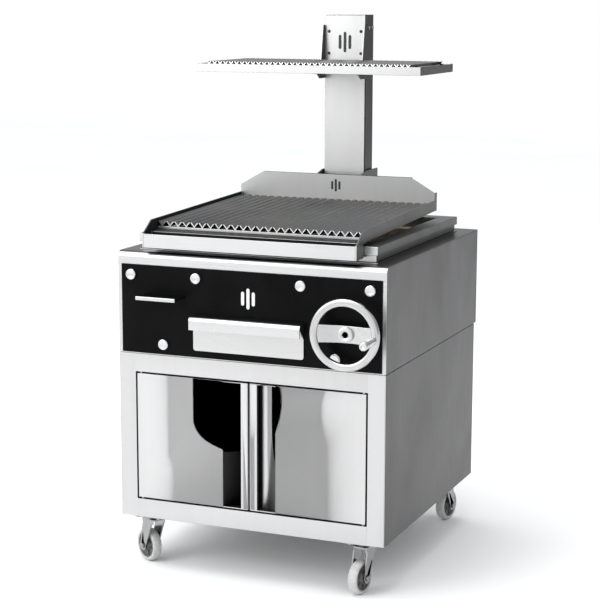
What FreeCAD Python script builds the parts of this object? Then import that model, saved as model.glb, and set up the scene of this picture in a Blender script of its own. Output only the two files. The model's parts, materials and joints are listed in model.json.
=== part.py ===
import FreeCAD, Part
import math
import os

# Charcoal charbroiler grill on a castor cabinet, in millimetres, +Z up.
# Origin: on the floor, below the middle of the object's bounding box.
# Every piece is drawn with y = 0 on the front plane of the cabinet and +Y to the back.
# save() then moves it by FRONT_Y, which puts the origin in the middle of the depth.

# ---------------------------------------------------------------- main sizes
BODY_WIDTH = 750.0
UPPER_DEPTH = 776.0
LOWER_SETBACK = 17.0
CASTER_HEIGHT = 140.0
LOWER_HEIGHT = 447.0
UPPER_HEIGHT = 273.0
COLUMN_RISE = 608.0
CRANK_REACH = 135.0
SHEET = 2.0
SEAM_GAP = 1.5

# ---------------------------------------------------------------- clearances
RUN_CLEAR = 0.05
SLIDE_CLEAR = 0.4
PASS_CLEAR = 3.0

# ---------------------------------------------------------------- door frame and doors
STILE_WIDTH = 45.0
TOP_RAIL_HEIGHT = 48.0
BOTTOM_RAIL_HEIGHT = 50.0
FRAME_DEPTH = 25.0
DOOR_GAP = 5.0
DOOR_THICKNESS = 16.0
HANDLE_LIP = 20.0
HANDLE_LIP_RETURN = 10.0
HANDLE_SLOPE_START = 75.0
HANDLE_SLOPE_END = 26.0
HANDLE_DEPTH = 32.0
HINGE_PIN_R = 4.0
HINGE_PIN_REACH = 8.0
LINER_THICKNESS = 2.0
FLOOR_THICKNESS = 3.0
DECK_THICKNESS = 3.0

# ---------------------------------------------------------------- top deck and front
TOP_BEND_R = 15.0
SKIRT_HEIGHT = 34.0
PANEL_THICKNESS = 3.0
PANEL_BORDER = 10.5
PANEL_BOTTOM_GAP = 4.0
CAP_R = 14.5
CAP_THICKNESS = 9.0
CAP_FILLET = 3.0
CAP_OUTER_EDGE = 41.0
CAP_INNER_EDGE = 228.5
CAP_LOWER_EDGE = 133.5
CAP_DROP = 26.0
CAP_LOWER_RISE = 28.0

# ---------------------------------------------------------------- firebox
SURROUND_SIDE_MARGIN = 41.0
SURROUND_FRONT = 44.0
SURROUND_BACK_MARGIN = 69.0
SURROUND_HEIGHT = 43.0
SURROUND_WALL = 3.0
RIM_WIDTH = 45.0
SHELL_WALL = 3.0
SHELL_DEPTH = 150.0
BRICK_THICKNESS = 40.0
BRICK_HEIGHT = 120.0
BRICK_JOINT = 1.0
BRICKS_ALONG = 3
ASH_HOLE_WIDTH = 260.0
ASH_HOLE_FRONT_MARGIN = 136.0
ASH_HOLE_BACK_MARGIN = 167.0
GRATE_LEDGE = 18.0
CHARCOAL_GRATE_THICKNESS = 12.0
CHARCOAL_SLOT = 14.0
CHARCOAL_SLOT_PITCH = 30.0
CHUTE_HEIGHT = 48.0

# ---------------------------------------------------------------- air damper
DAMPER_EDGE = 139.0
DAMPER_GRIP_WIDTH = 114.0
DAMPER_GRIP_HEIGHT = 10.0
DAMPER_GRIP_THICKNESS = 5.0
DAMPER_REACH = 65.0
DAMPER_TRAVEL = 40.0
DAMPER_PLATE_FRONT = 60.0
DAMPER_PLATE_LENGTH = 300.0
DAMPER_PLATE_WIDTH = 104.0
DAMPER_PLATE_THICKNESS = 3.0
DAMPER_HEAD_LENGTH = 60.0
GUIDE_LEDGE = 8.0
GUIDE_THICKNESS = 2.0
AIR_SLOT_WIDTH = 50.0
AIR_SLOT_LENGTH = 36.0
AIR_SLOT_COUNT = 3

# ---------------------------------------------------------------- ash drawer
DRAWER_WIDTH = 310.0
DRAWER_RISE = 23.0
DRAWER_HEIGHT = 94.0
DRAWER_HOOD_REACH = 34.0
DRAWER_HOOD_HEIGHT = 35.0
DRAWER_HOOD_R = 12.0
DRAWER_FACE = 3.0
DRAWER_EDGE = 5.0
DRAWER_CORNER_R = 7.0
TRAY_WALL = 2.0
TRAY_BACK_ROOM = 90.0
TRAY_HEIGHT = 78.0
RUNNER_WIDTH = 14.0
RUNNER_WALL = 2.5
RUNNER_UP = 18.0

# ---------------------------------------------------------------- column
COLUMN_WIDTH = 122.0
COLUMN_DEPTH = 68.0
COLUMN_BACK_MARGIN = 31.0
COLUMN_WALL = 3.0
COLUMN_LIP = 20.0
COVER_THICKNESS = 2.5
COLUMN_SLOT = 10.5
COVER_SCREW_X = 49.0
COVER_SCREW_DROPS = (109.0, 47.0)
COVER_SCREW_R = 4.5
COLUMN_FOOT_WIDTH = 200.0
COLUMN_FOOT_DEPTH = 110.0
COLUMN_FOOT_THICKNESS = 6.0

# ---------------------------------------------------------------- upper rack
RACK_SIDE_MARGIN = 49.0
RACK_DEPTH = 283.0
RACK_COLUMN_GAP = 11.0
RACK_DROP = 155.0
RACK_HEIGHT = 22.0
RACK_CHANNEL_PITCH = 16.6
RACK_CHANNEL_MARGIN = 29.0
RACK_CHANNEL_WIDTH = 13.0
RACK_CHANNEL_DEPTH = 8.0
RACK_CHANNEL_WALL = 1.2
RACK_CHANNEL_PROUD = 6.0
RACK_WALL = 3.0
RACK_CROSS_HEIGHT = 6.0
BRACKET_THICKNESS = 4.0
BRACKET_TOP_DROP = 29.0
BRACKET_HEIGHT = 151.0
BRACKET_BOLT_R = 5.0

# ---------------------------------------------------------------- lifting grate
LIFT_TRAVEL = 250.0
GRATE_SIDE_MARGIN = 36.0
GRATE_FRONT = 37.0
GRATE_BACK_MARGIN = 95.0
GRATE_FRONT_RISE = 38.0
GRATE_SLOPE_RISE = 16.0
SIDE_PLATE_THICKNESS = 4.0
SIDE_PLATE_HEIGHT = 30.0
CHANNEL_PITCH = 23.5
CHANNEL_WIDTH = 21.5
CHANNEL_DEPTH = 13.0
CHANNEL_WALL = 1.6
CHANNEL_SET_DOWN = 9.0
CHANNEL_SETBACK = 36.0
SUPPORT_WIDTH = 12.0
SUPPORT_HEIGHT = 7.0
APRON_THICKNESS = 1.5
APRON_LAP = 8.0
APRON_RISE = 2.5
TROUGH_FRONT = -11.0
TROUGH_BACK = 40.0
TROUGH_RISE = 13.0
TROUGH_HEIGHT = 36.0
TROUGH_WALL = 2.0
SPLASH_THICKNESS = 2.0
SPLASH_RISE = 61.0
SPLASH_SHOULDER_DROP = 40.0
SPLASH_TOP_WIDTH = 454.0
SPLASH_RETURN = 20.0
SPLASH_HEM = 12.0

# ---------------------------------------------------------------- lift yoke and screw
YOKE_PLATE = 5.0
YOKE_GAP = 3.0
YOKE_DROP = 12.0
YOKE_HEIGHT = 81.0
YOKE_BACK_REACH = 27.0
YOKE_TIE = 5.0
CROSSBAR_THICKNESS = 7.0
CROSSBAR_HEIGHT = 60.0
NUT_WIDTH = 40.0
NUT_HEIGHT = 50.0
SCREW_R = 10.0
SCREW_JOURNAL_R = 7.5
SCREW_AXIS_BACK = 28.0
SCREW_OVER = 10.0
TOP_BEARING_HEIGHT = 10.0
BOTTOM_BEARING_HEIGHT = 36.0

# ---------------------------------------------------------------- crank drive
CRANK_EDGE = 92.5
CRANK_RISE = 105.0
SHAFT_R = 9.0
CROSS_SHAFT_R = 8.0
WHEEL_R = 92.0
WHEEL_BAND = 20.0
WHEEL_THICKNESS = 18.0
WHEEL_FRONT = -59.0
WHEEL_EDGE_FILLET = 5.0
WHEEL_DISH = 12.0
SPOKE_HEIGHT = 44.0
SPOKE_THICKNESS = 6.0
HUB_R = 19.5
HUB_LENGTH = 20.0
HUB_SOCKET_R = 8.5
HUB_SOCKET_DEPTH = 5.0
KNOB_RADIUS_OUT = 80.0
KNOB_ANGLE = -5.0
KNOB_R_BASE = 8.5
KNOB_R_FRONT = 11.5
KNOB_GAP = 3.0
KNOB_FILLET = 3.0
KNOB_PIN_R = 4.0
KNOB_PIN_END_WALL = 8.0
GEAR_MODULE = 2.0
GEAR_TEETH = 20
GEAR_FACE = 9.0
GEAR_HUB_R = 14.0
GEAR_HUB_LENGTH = 8.0
TOOTH_FILL = 0.80
FRONT_BEARING_R = 20.0
FRONT_BEARING_LENGTH = 22.0
BLOCK_WIDTH = 40.0
BLOCK_THICKNESS = 14.0
BLOCK_RISE = 18.0
REAR_BLOCK_GAP = 27.0
CROSS_BLOCK_INSET = 56.5

# ---------------------------------------------------------------- casters
WHEEL_DIAMETER = 90.0
WHEEL_WIDTH = 30.0
CASTER_INSET_X = 70.0
CASTER_INSET_Y = 48.0
CASTER_TRAIL = 22.0
CASTER_PLATE_SIZE = 80.0
CASTER_PLATE_THICKNESS = 4.0
CASTER_RACE_R = 24.0
CASTER_RACE_HEIGHT = 8.7
CROWN_HEIGHT = 13.0
CROWN_LENGTH = 58.0
FORK_GAP = 3.0
FORK_PLATE = 4.0
FORK_END_R = 14.0
AXLE_R = 5.0
AXLE_HEAD_R = 8.0
AXLE_HEAD = 5.0
STEM_R = 6.0
STEM_LENGTH = 8.0
CASTER_BOLT_R = 4.0
CASTER_BOLT_SPACING = 60.0
# corner name: (side of X, end of Y, angle of the trail direction from +X in degrees)
CASTERS = {
    "front_left": (-1, "front", 150.0),
    "front_right": (1, "front", -100.0),
    "rear_left": (-1, "rear", 80.0),
    "rear_right": (1, "rear", 80.0),
}

# ---------------------------------------------------------------- worked-out levels
FRONT_Y = (CRANK_REACH - UPPER_DEPTH) / 2.0
HALF = BODY_WIDTH / 2.0
IN_HALF = HALF - SHEET
LOWER_DEPTH = UPPER_DEPTH - LOWER_SETBACK
BODY_BOTTOM = CASTER_HEIGHT
SEAM_Z = BODY_BOTTOM + LOWER_HEIGHT
BODY_TOP = SEAM_Z + UPPER_HEIGHT
DECK_TOP = SEAM_Z + DECK_THICKNESS
UPPER_BOTTOM = SEAM_Z + SEAM_GAP
SKIRT_BOTTOM = BODY_TOP - SKIRT_HEIGHT
RIM_TOP = BODY_TOP + SURROUND_HEIGHT
RIM_UNDER = RIM_TOP - SURROUND_WALL
COLUMN_TOP = BODY_TOP + COLUMN_RISE
COLUMN_BACK = UPPER_DEPTH - COLUMN_BACK_MARGIN
COLUMN_FRONT = COLUMN_BACK - COLUMN_DEPTH
SURROUND_WIDTH = BODY_WIDTH - 2 * SURROUND_SIDE_MARGIN
SURROUND_BACK = UPPER_DEPTH - SURROUND_BACK_MARGIN
ASH_HOLE_FRONT = SURROUND_FRONT + ASH_HOLE_FRONT_MARGIN
ASH_HOLE_BACK = SURROUND_BACK - ASH_HOLE_BACK_MARGIN
CAP_OUTER_X = HALF - CAP_OUTER_EDGE
CAP_INNER_X = HALF - CAP_INNER_EDGE
CAP_LOWER_X = HALF - CAP_LOWER_EDGE
DAMPER_X = DAMPER_EDGE - HALF
CRANK_X = HALF - CRANK_EDGE
CRANK_Z = SEAM_Z + CRANK_RISE
REAR_BLOCK_BACK = COLUMN_FRONT - REAR_BLOCK_GAP
CROSS_BLOCK_X = CRANK_X - CROSS_BLOCK_INSET
DRAWER_BOTTOM = SEAM_Z + DRAWER_RISE
DRAWER_TOP = DRAWER_BOTTOM + DRAWER_HEIGHT
DRAWER_HOOD_BOTTOM = DRAWER_TOP - DRAWER_HOOD_HEIGHT
TRAY_DEPTH = REAR_BLOCK_BACK - TRAY_BACK_ROOM
COVER_SCREW_Z = tuple(COLUMN_TOP - drop for drop in COVER_SCREW_DROPS)
RACK_WIDTH = BODY_WIDTH - 2 * RACK_SIDE_MARGIN
RACK_BACK = COLUMN_FRONT - RACK_COLUMN_GAP
RACK_FRONT = RACK_BACK - RACK_DEPTH
RACK_BOTTOM = COLUMN_TOP - RACK_DROP
RACK_CHANNEL_COUNT = 1 + int((RACK_WIDTH - 2 * RACK_CHANNEL_MARGIN) / RACK_CHANNEL_PITCH)
BRACKET_TOP = COLUMN_TOP - BRACKET_TOP_DROP
BRACKET_BOTTOM = BRACKET_TOP - BRACKET_HEIGHT
GRATE_WIDTH = SURROUND_WIDTH - 2 * GRATE_SIDE_MARGIN
GRATE_BACK = SURROUND_BACK - GRATE_BACK_MARGIN
GRATE_TOP_FRONT = RIM_TOP + GRATE_FRONT_RISE
GRATE_TOP_BACK = GRATE_TOP_FRONT + GRATE_SLOPE_RISE
TROUGH_BOTTOM = BODY_TOP + TROUGH_RISE
TROUGH_TOP = TROUGH_BOTTOM + TROUGH_HEIGHT
SPLASH_TOP = GRATE_TOP_BACK + SPLASH_RISE
SPLASH_SHOULDER = SPLASH_TOP - SPLASH_SHOULDER_DROP
YOKE_BOTTOM = GRATE_TOP_BACK - YOKE_DROP
YOKE_TOP = YOKE_BOTTOM + YOKE_HEIGHT
YOKE_BACK = COLUMN_BACK + YOKE_BACK_REACH
SCREW_TOP = YOKE_TOP + LIFT_TRAVEL + SCREW_OVER
OPEN_HALF = SURROUND_WIDTH / 2.0 - RIM_WIDTH
OPEN_FRONT = SURROUND_FRONT + RIM_WIDTH
OPEN_BACK = SURROUND_BACK - RIM_WIDTH
SHELL_BOTTOM = RIM_UNDER - SHELL_DEPTH
SHELL_FLOOR = SHELL_BOTTOM + SHELL_WALL
DOOR_OPEN_HALF = IN_HALF - STILE_WIDTH
DOOR_OPEN_BOTTOM = BODY_BOTTOM + BOTTOM_RAIL_HEIGHT
DOOR_OPEN_TOP = SEAM_Z - TOP_RAIL_HEIGHT
DOOR_BOTTOM = DOOR_OPEN_BOTTOM + DOOR_GAP
DOOR_TOP = DOOR_OPEN_TOP - DOOR_GAP
DOOR_OUTER = DOOR_OPEN_HALF - DOOR_GAP
DOOR_INNER = DOOR_GAP / 2.0
HINGE_X = DOOR_OUTER - DOOR_THICKNESS / 2.0
HINGE_Y = DOOR_THICKNESS / 2.0
PANEL_FACE = -PANEL_THICKNESS
PANEL_BOTTOM = SEAM_Z + PANEL_BOTTOM_GAP
PANEL_HALF = HALF - PANEL_BORDER
DAMPER_PLATE_TOP = SHELL_BOTTOM - SLIDE_CLEAR
DAMPER_PLATE_BOTTOM = DAMPER_PLATE_TOP - DAMPER_PLATE_THICKNESS
DAMPER_Z = (DAMPER_PLATE_BOTTOM + DAMPER_PLATE_TOP) / 2.0
SLOT_FRONT = COLUMN_FRONT + COVER_THICKNESS
SLOT_BACK = SLOT_FRONT + COLUMN_SLOT
COLUMN_HALF = COLUMN_WIDTH / 2.0
COLUMN_IN_HALF = COLUMN_HALF - COLUMN_WALL
CAP_BOTTOM = COLUMN_TOP - COVER_THICKNESS
SCREW_Y = COLUMN_BACK - COLUMN_WALL - SCREW_AXIS_BACK
CROSSBAR_BOTTOM = YOKE_BOTTOM + 10.0
YOKE_IN_HALF = COLUMN_HALF + YOKE_GAP
YOKE_HALF = YOKE_IN_HALF + YOKE_PLATE
SPLASH_BACK = GRATE_BACK + SPLASH_THICKNESS
GRATE_HALF = GRATE_WIDTH / 2.0
GRATE_IN_HALF = GRATE_HALF - SIDE_PLATE_THICKNESS
CHANNEL_COUNT = 1 + int((2 * GRATE_IN_HALF - CHANNEL_WIDTH) / CHANNEL_PITCH)
CHANNEL_FRONT = GRATE_FRONT + CHANNEL_SETBACK
GRATE_SLOPE = (GRATE_TOP_BACK - GRATE_TOP_FRONT) / (GRATE_BACK - GRATE_FRONT)
GEAR_R = GEAR_MODULE * GEAR_TEETH / 2.0
KNOB_X = CRANK_X + KNOB_RADIUS_OUT * math.cos(math.radians(KNOB_ANGLE))
KNOB_Z = CRANK_Z + KNOB_RADIUS_OUT * math.sin(math.radians(KNOB_ANGLE))
HUB_FRONT = WHEEL_FRONT + WHEEL_DISH
AXLE_Z = WHEEL_DIAMETER / 2.0
PLATE_UNDER = CASTER_HEIGHT - CASTER_PLATE_THICKNESS
RACE_UNDER = PLATE_UNDER - CASTER_RACE_HEIGHT
CROWN_TOP = RACE_UNDER - SLIDE_CLEAR
CROWN_UNDER = CROWN_TOP - CROWN_HEIGHT


# ---------------------------------------------------------------- drawing helpers
def vec(x, y, z):
    return FreeCAD.Vector(x, y, z)


def block(x0, x1, y0, y1, z0, z1):
    """Box between two corners."""
    return Part.makeBox(x1 - x0, y1 - y0, z1 - z0, vec(x0, y0, z0))


def rod(radius, start, end):
    """Round bar from one point to another."""
    axis = end.sub(start)
    return Part.makeCylinder(radius, axis.Length, start, axis)


def prism(points, thickness):
    """Closed outline of 3-D points in one plane, pushed out by a vector."""
    outline = [vec(*p) for p in points]
    wire = Part.makePolygon(outline + [outline[0]])
    return Part.Face(wire).extrude(thickness)


def prism_x(points, x0, x1):
    """Outline of (y, z) points between two X planes."""
    return prism([(x0, y, z) for y, z in points], vec(x1 - x0, 0, 0))


def prism_y(points, y0, y1):
    """Outline of (x, z) points between two Y planes."""
    return prism([(x, y0, z) for x, z in points], vec(0, y1 - y0, 0))


def prism_z(points, z0, z1):
    """Outline of (x, y) points between two Z planes."""
    return prism([(x, y, z0) for x, y in points], vec(0, 0, z1 - z0))


def fused(shapes):
    """One solid from touching or overlapping shapes."""
    whole = shapes[0].multiFuse(shapes[1:]) if len(shapes) > 1 else shapes[0]
    return whole.removeSplitter()


def group(shapes):
    """Separate solids kept in one sub-part."""
    solids = []
    for shape in shapes:
        solids.extend(shape.Solids)
    return Part.makeCompound(solids)


def mirrored(shape):
    """The same shape on the other side of the middle plane."""
    return shape.mirror(vec(0, 0, 0), vec(1, 0, 0))


def save(name, shape):
    """Move a finished piece into the object's frame and write it."""
    placed = shape.copy()
    placed.translate(vec(0, FRONT_Y, 0))
    placed.exportStep("parts/" + name + ".step")


# ---------------------------------------------------------------- lower cabinet
def lower_side():
    return block(IN_HALF, HALF, 0, LOWER_DEPTH, BODY_BOTTOM, SEAM_Z)


def lower_back():
    return block(-IN_HALF, IN_HALF, LOWER_DEPTH - SHEET, LOWER_DEPTH, BODY_BOTTOM, SEAM_Z)


def lower_floor():
    return block(-IN_HALF, IN_HALF, FRAME_DEPTH, LOWER_DEPTH - SHEET,
                 BODY_BOTTOM, BODY_BOTTOM + FLOOR_THICKNESS)


def folded_strip(x0, x1, z0, z1, across):
    """Frame member: a face sheet with two flanges turned back into the cabinet."""
    face = block(x0, x1, 0, SHEET, z0, z1)
    if across:
        low = block(x0, x1, 0, FRAME_DEPTH, z0, z0 + SHEET)
        high = block(x0, x1, 0, FRAME_DEPTH, z1 - SHEET, z1)
    else:
        low = block(x0, x0 + SHEET, 0, FRAME_DEPTH, z0, z1)
        high = block(x1 - SHEET, x1, 0, FRAME_DEPTH, z0, z1)
    return fused([face, low, high])


def hinge_hole(side, z):
    """Hole for a door's pivot pin through one rail flange."""
    centre = vec(side * HINGE_X, HINGE_Y, z)
    return Part.makeCylinder(HINGE_PIN_R + RUN_CLEAR, 2 * SHEET, centre)


def door_frame():
    left = folded_strip(-IN_HALF, -DOOR_OPEN_HALF, BODY_BOTTOM, SEAM_Z, False)
    right = folded_strip(DOOR_OPEN_HALF, IN_HALF, BODY_BOTTOM, SEAM_Z, False)
    top = folded_strip(-DOOR_OPEN_HALF, DOOR_OPEN_HALF, DOOR_OPEN_TOP, SEAM_Z, True)
    bottom = folded_strip(-DOOR_OPEN_HALF, DOOR_OPEN_HALF, BODY_BOTTOM, DOOR_OPEN_BOTTOM, True)
    for side in (-1, 1):
        top = top.cut(hinge_hole(side, DOOR_OPEN_TOP - SHEET / 2.0))
        bottom = bottom.cut(hinge_hole(side, DOOR_OPEN_BOTTOM - 1.5 * SHEET))
    return group([left, right, top, bottom])


def middle_deck():
    return block(-IN_HALF, IN_HALF, SHEET, LOWER_DEPTH, SEAM_Z, DECK_TOP)


# ---------------------------------------------------------------- doors
def door_skin():
    """Right door: front sheet with its edge return, and the grip channel in flat strips."""
    t = SHEET
    inner = DOOR_INNER
    floor_y = HANDLE_DEPTH - t
    slope = math.atan2(floor_y, HANDLE_SLOPE_START - HANDLE_SLOPE_END)
    shift = t * math.tan(slope / 2.0)
    lip = inner + HANDLE_LIP
    z0, z1 = DOOR_BOTTOM, DOOR_TOP
    front = [(DOOR_OUTER, 0), (HANDLE_SLOPE_START, 0), (HANDLE_SLOPE_START + shift, t),
             (DOOR_OUTER, t)]
    sloping = [(HANDLE_SLOPE_START, 0), (HANDLE_SLOPE_END, floor_y),
               (HANDLE_SLOPE_END + shift, HANDLE_DEPTH), (HANDLE_SLOPE_START + shift, t)]
    floor = [(HANDLE_SLOPE_END, floor_y), (inner, floor_y), (inner, HANDLE_DEPTH),
             (HANDLE_SLOPE_END + shift, HANDLE_DEPTH)]
    end = [(inner + t, 0), (HANDLE_SLOPE_START, 0), (HANDLE_SLOPE_END, floor_y),
           (inner + t, floor_y)]
    return [
        prism_z(front, z0, z1), prism_z(sloping, z0, z1), prism_z(floor, z0, z1),
        block(DOOR_OUTER - t, DOOR_OUTER, t, DOOR_THICKNESS, z0, z1),
        block(inner, inner + t, 0, floor_y, z0, z1),
        block(inner + t, lip, 0, t, z0 + t, z1 - t),
        block(lip - t, lip, t, HANDLE_LIP_RETURN, z0 + t, z1 - t),
        prism_z(end, z0, z0 + t), prism_z(end, z1 - t, z1),
    ]


def door_liner():
    """Back tray that closes the right door and carries its two pivot pins."""
    t = LINER_THICKNESS
    x0 = HANDLE_SLOPE_START + 2 * SHEET
    x1 = DOOR_OUTER - SHEET
    back = block(x0, x1, DOOR_THICKNESS - t, DOOR_THICKNESS, DOOR_BOTTOM, DOOR_TOP)
    low = block(x0, x1, SHEET, DOOR_THICKNESS, DOOR_BOTTOM, DOOR_BOTTOM + t)
    high = block(x0, x1, SHEET, DOOR_THICKNESS, DOOR_TOP - t, DOOR_TOP)
    top_pin = rod(HINGE_PIN_R, vec(HINGE_X, HINGE_Y, DOOR_TOP - t),
                  vec(HINGE_X, HINGE_Y, DOOR_TOP + HINGE_PIN_REACH))
    low_pin = rod(HINGE_PIN_R, vec(HINGE_X, HINGE_Y, DOOR_BOTTOM + t),
                  vec(HINGE_X, HINGE_Y, DOOR_BOTTOM - HINGE_PIN_REACH))
    return fused([back, low, high, top_pin, low_pin])


# ---------------------------------------------------------------- upper unit
def rounded_front(radius, y0, z_top, x0, x1, y1, z_bottom):
    """Block between X planes whose front top edge is rounded."""
    points = [
        Part.LineSegment(vec(x0, y1, z_bottom), vec(x0, y1, z_top)),
        Part.LineSegment(vec(x0, y1, z_top), vec(x0, y0 + radius, z_top)),
    ]
    turn = radius * (1.0 - math.sqrt(0.5))
    points.append(Part.Arc(vec(x0, y0 + radius, z_top), vec(x0, y0 + turn, z_top - turn),
                           vec(x0, y0, z_top - radius)))
    points.append(Part.LineSegment(vec(x0, y0, z_top - radius), vec(x0, y0, z_bottom)))
    points.append(Part.LineSegment(vec(x0, y0, z_bottom), vec(x0, y1, z_bottom)))
    wire = Part.Wire([p.toShape() for p in points])
    return Part.Face(wire).extrude(vec(x1 - x0, 0, 0))


def upper_side():
    return rounded_front(TOP_BEND_R - SHEET, SHEET, BODY_TOP - SHEET, IN_HALF, HALF,
                         UPPER_DEPTH, UPPER_BOTTOM)


def upper_back():
    return block(-IN_HALF, IN_HALF, UPPER_DEPTH - SHEET, UPPER_DEPTH,
                 UPPER_BOTTOM, BODY_TOP - SHEET)


def drawer_window(y0, y1, clear):
    return block(-DRAWER_WIDTH / 2.0 + clear, DRAWER_WIDTH / 2.0 - clear, y0, y1,
                 DRAWER_BOTTOM + clear, DRAWER_TOP - clear)


def front_cuts():
    """Openings that the front sheet and the black panel share."""
    cuts = [drawer_window(PANEL_FACE - 1, SHEET + 1, DRAWER_EDGE)]
    cuts.append(rod(SHAFT_R + PASS_CLEAR, vec(CRANK_X, PANEL_FACE - 1, CRANK_Z),
                    vec(CRANK_X, SHEET + 1, CRANK_Z)))
    half = DAMPER_GRIP_WIDTH / 2.0 + SLIDE_CLEAR
    cuts.append(block(DAMPER_X - half, DAMPER_X + half, PANEL_FACE - 1, SHEET + 1,
                      DAMPER_PLATE_BOTTOM - SLIDE_CLEAR, DAMPER_PLATE_TOP + SLIDE_CLEAR))
    return cuts


def front_sheet():
    sheet = block(-HALF, HALF, 0, SHEET, UPPER_BOTTOM, SKIRT_BOTTOM)
    return sheet.cut(front_cuts())


def top_deck():
    outer = rounded_front(TOP_BEND_R, 0, BODY_TOP, -HALF, HALF, UPPER_DEPTH, SKIRT_BOTTOM)
    inner = rounded_front(TOP_BEND_R - SHEET, SHEET, BODY_TOP - SHEET, -HALF - 1, HALF + 1,
                          UPPER_DEPTH + 1, SKIRT_BOTTOM - 1)
    sheet = outer.cut(inner)
    shell_half = OPEN_HALF + SHELL_WALL + 1.0
    hole = block(-shell_half, shell_half, OPEN_FRONT - SHELL_WALL - 1.0,
                 OPEN_BACK + SHELL_WALL + 1.0, BODY_TOP - SHEET - 1, BODY_TOP + 1)
    column_hole = block(-COLUMN_HALF - 1, COLUMN_HALF + 1, COLUMN_FRONT - 1,
                        COLUMN_BACK + 1, BODY_TOP - SHEET - 1, BODY_TOP + 1)
    return sheet.cut([hole, column_hole])


def front_panel():
    panel = block(-PANEL_HALF, PANEL_HALF, PANEL_FACE, 0, PANEL_BOTTOM, SKIRT_BOTTOM)
    return panel.cut(front_cuts())


def panel_caps():
    """Round cover caps over the panel's fixings."""
    high = SKIRT_BOTTOM - CAP_DROP
    low = PANEL_BOTTOM + CAP_LOWER_RISE
    spots = [(CAP_OUTER_X, high), (CAP_INNER_X, high), (CAP_LOWER_X, low)]
    caps = []
    for x, z in spots:
        for side in (-1, 1):
            cap = rod(CAP_R, vec(side * x, PANEL_FACE, z),
                      vec(side * x, PANEL_FACE - CAP_THICKNESS, z))
            rim = [e for e in cap.Edges
                   if abs(e.CenterOfMass.y - (PANEL_FACE - CAP_THICKNESS)) < 0.01]
            caps.append(cap.makeFillet(CAP_FILLET, rim))
    return group(caps)


# ---------------------------------------------------------------- firebox
def column_notch(z0, z1):
    """Room for the column through the rear of the firebox surround."""
    return block(-COLUMN_HALF - 1.5, COLUMN_HALF + 1.5, COLUMN_FRONT - 1.5,
                 SURROUND_BACK + 1, z0, z1)


def firebox_surround():
    half = SURROUND_WIDTH / 2.0
    outer = block(-half, half, SURROUND_FRONT, SURROUND_BACK, BODY_TOP, RIM_TOP)
    hollow = block(-half + SURROUND_WALL, half - SURROUND_WALL,
                   SURROUND_FRONT + SURROUND_WALL, SURROUND_BACK - SURROUND_WALL,
                   BODY_TOP - 1, RIM_UNDER)
    opening = block(-OPEN_HALF, OPEN_HALF, OPEN_FRONT, OPEN_BACK, BODY_TOP - 1, RIM_TOP + 1)
    notch = column_notch(BODY_TOP - 1, RIM_TOP + 1)
    return outer.cut([hollow, opening, notch])


def air_slots(y_start, z0, z1):
    """Row of air slots, half a pitch apart between the floor and the damper."""
    pitch = 2 * DAMPER_TRAVEL
    slots = []
    for i in range(AIR_SLOT_COUNT):
        y = y_start + i * pitch
        slots.append(block(DAMPER_X - AIR_SLOT_WIDTH / 2.0, DAMPER_X + AIR_SLOT_WIDTH / 2.0,
                           y, y + AIR_SLOT_LENGTH, z0, z1))
    return slots


def first_air_slot():
    return OPEN_FRONT + BRICK_THICKNESS + DAMPER_TRAVEL


def firebox_shell():
    w = SHELL_WALL
    outer = block(-OPEN_HALF - w, OPEN_HALF + w, OPEN_FRONT - w, OPEN_BACK + w,
                  SHELL_BOTTOM, RIM_UNDER)
    hollow = block(-OPEN_HALF, OPEN_HALF, OPEN_FRONT, OPEN_BACK, SHELL_FLOOR, RIM_UNDER + 1)
    ash_hole = block(-ASH_HOLE_WIDTH / 2.0, ASH_HOLE_WIDTH / 2.0, ASH_HOLE_FRONT,
                     ASH_HOLE_BACK, SHELL_BOTTOM - 1, SHELL_FLOOR + 1)
    shell = outer.cut([hollow, ash_hole])
    return shell.cut(air_slots(first_air_slot(), SHELL_BOTTOM - 1, SHELL_FLOOR + 1))


def brick_row(start, end, along_x, low, high):
    """A wall of firebricks with thin joints between them."""
    length = (end - start - (BRICKS_ALONG - 1) * BRICK_JOINT) / BRICKS_ALONG
    bricks = []
    for i in range(BRICKS_ALONG):
        a = start + i * (length + BRICK_JOINT)
        b = a + length
        if along_x:
            bricks.append(block(a, b, low, high, SHELL_FLOOR, SHELL_FLOOR + BRICK_HEIGHT))
        else:
            bricks.append(block(low, high, a, b, SHELL_FLOOR, SHELL_FLOOR + BRICK_HEIGHT))
    return bricks


def brick_lining():
    """Firebricks along the four walls of the shell."""
    t = BRICK_THICKNESS
    side_start = OPEN_FRONT + t + BRICK_JOINT
    side_end = OPEN_BACK - t - BRICK_JOINT
    side = group(brick_row(side_start, side_end, False, OPEN_HALF - t, OPEN_HALF))
    front = brick_row(-OPEN_HALF, OPEN_HALF, True, OPEN_FRONT, OPEN_FRONT + t)
    back = brick_row(-OPEN_HALF, OPEN_HALF, True, OPEN_BACK - t, OPEN_BACK)
    return group(front + back + [side, mirrored(side)])


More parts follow.
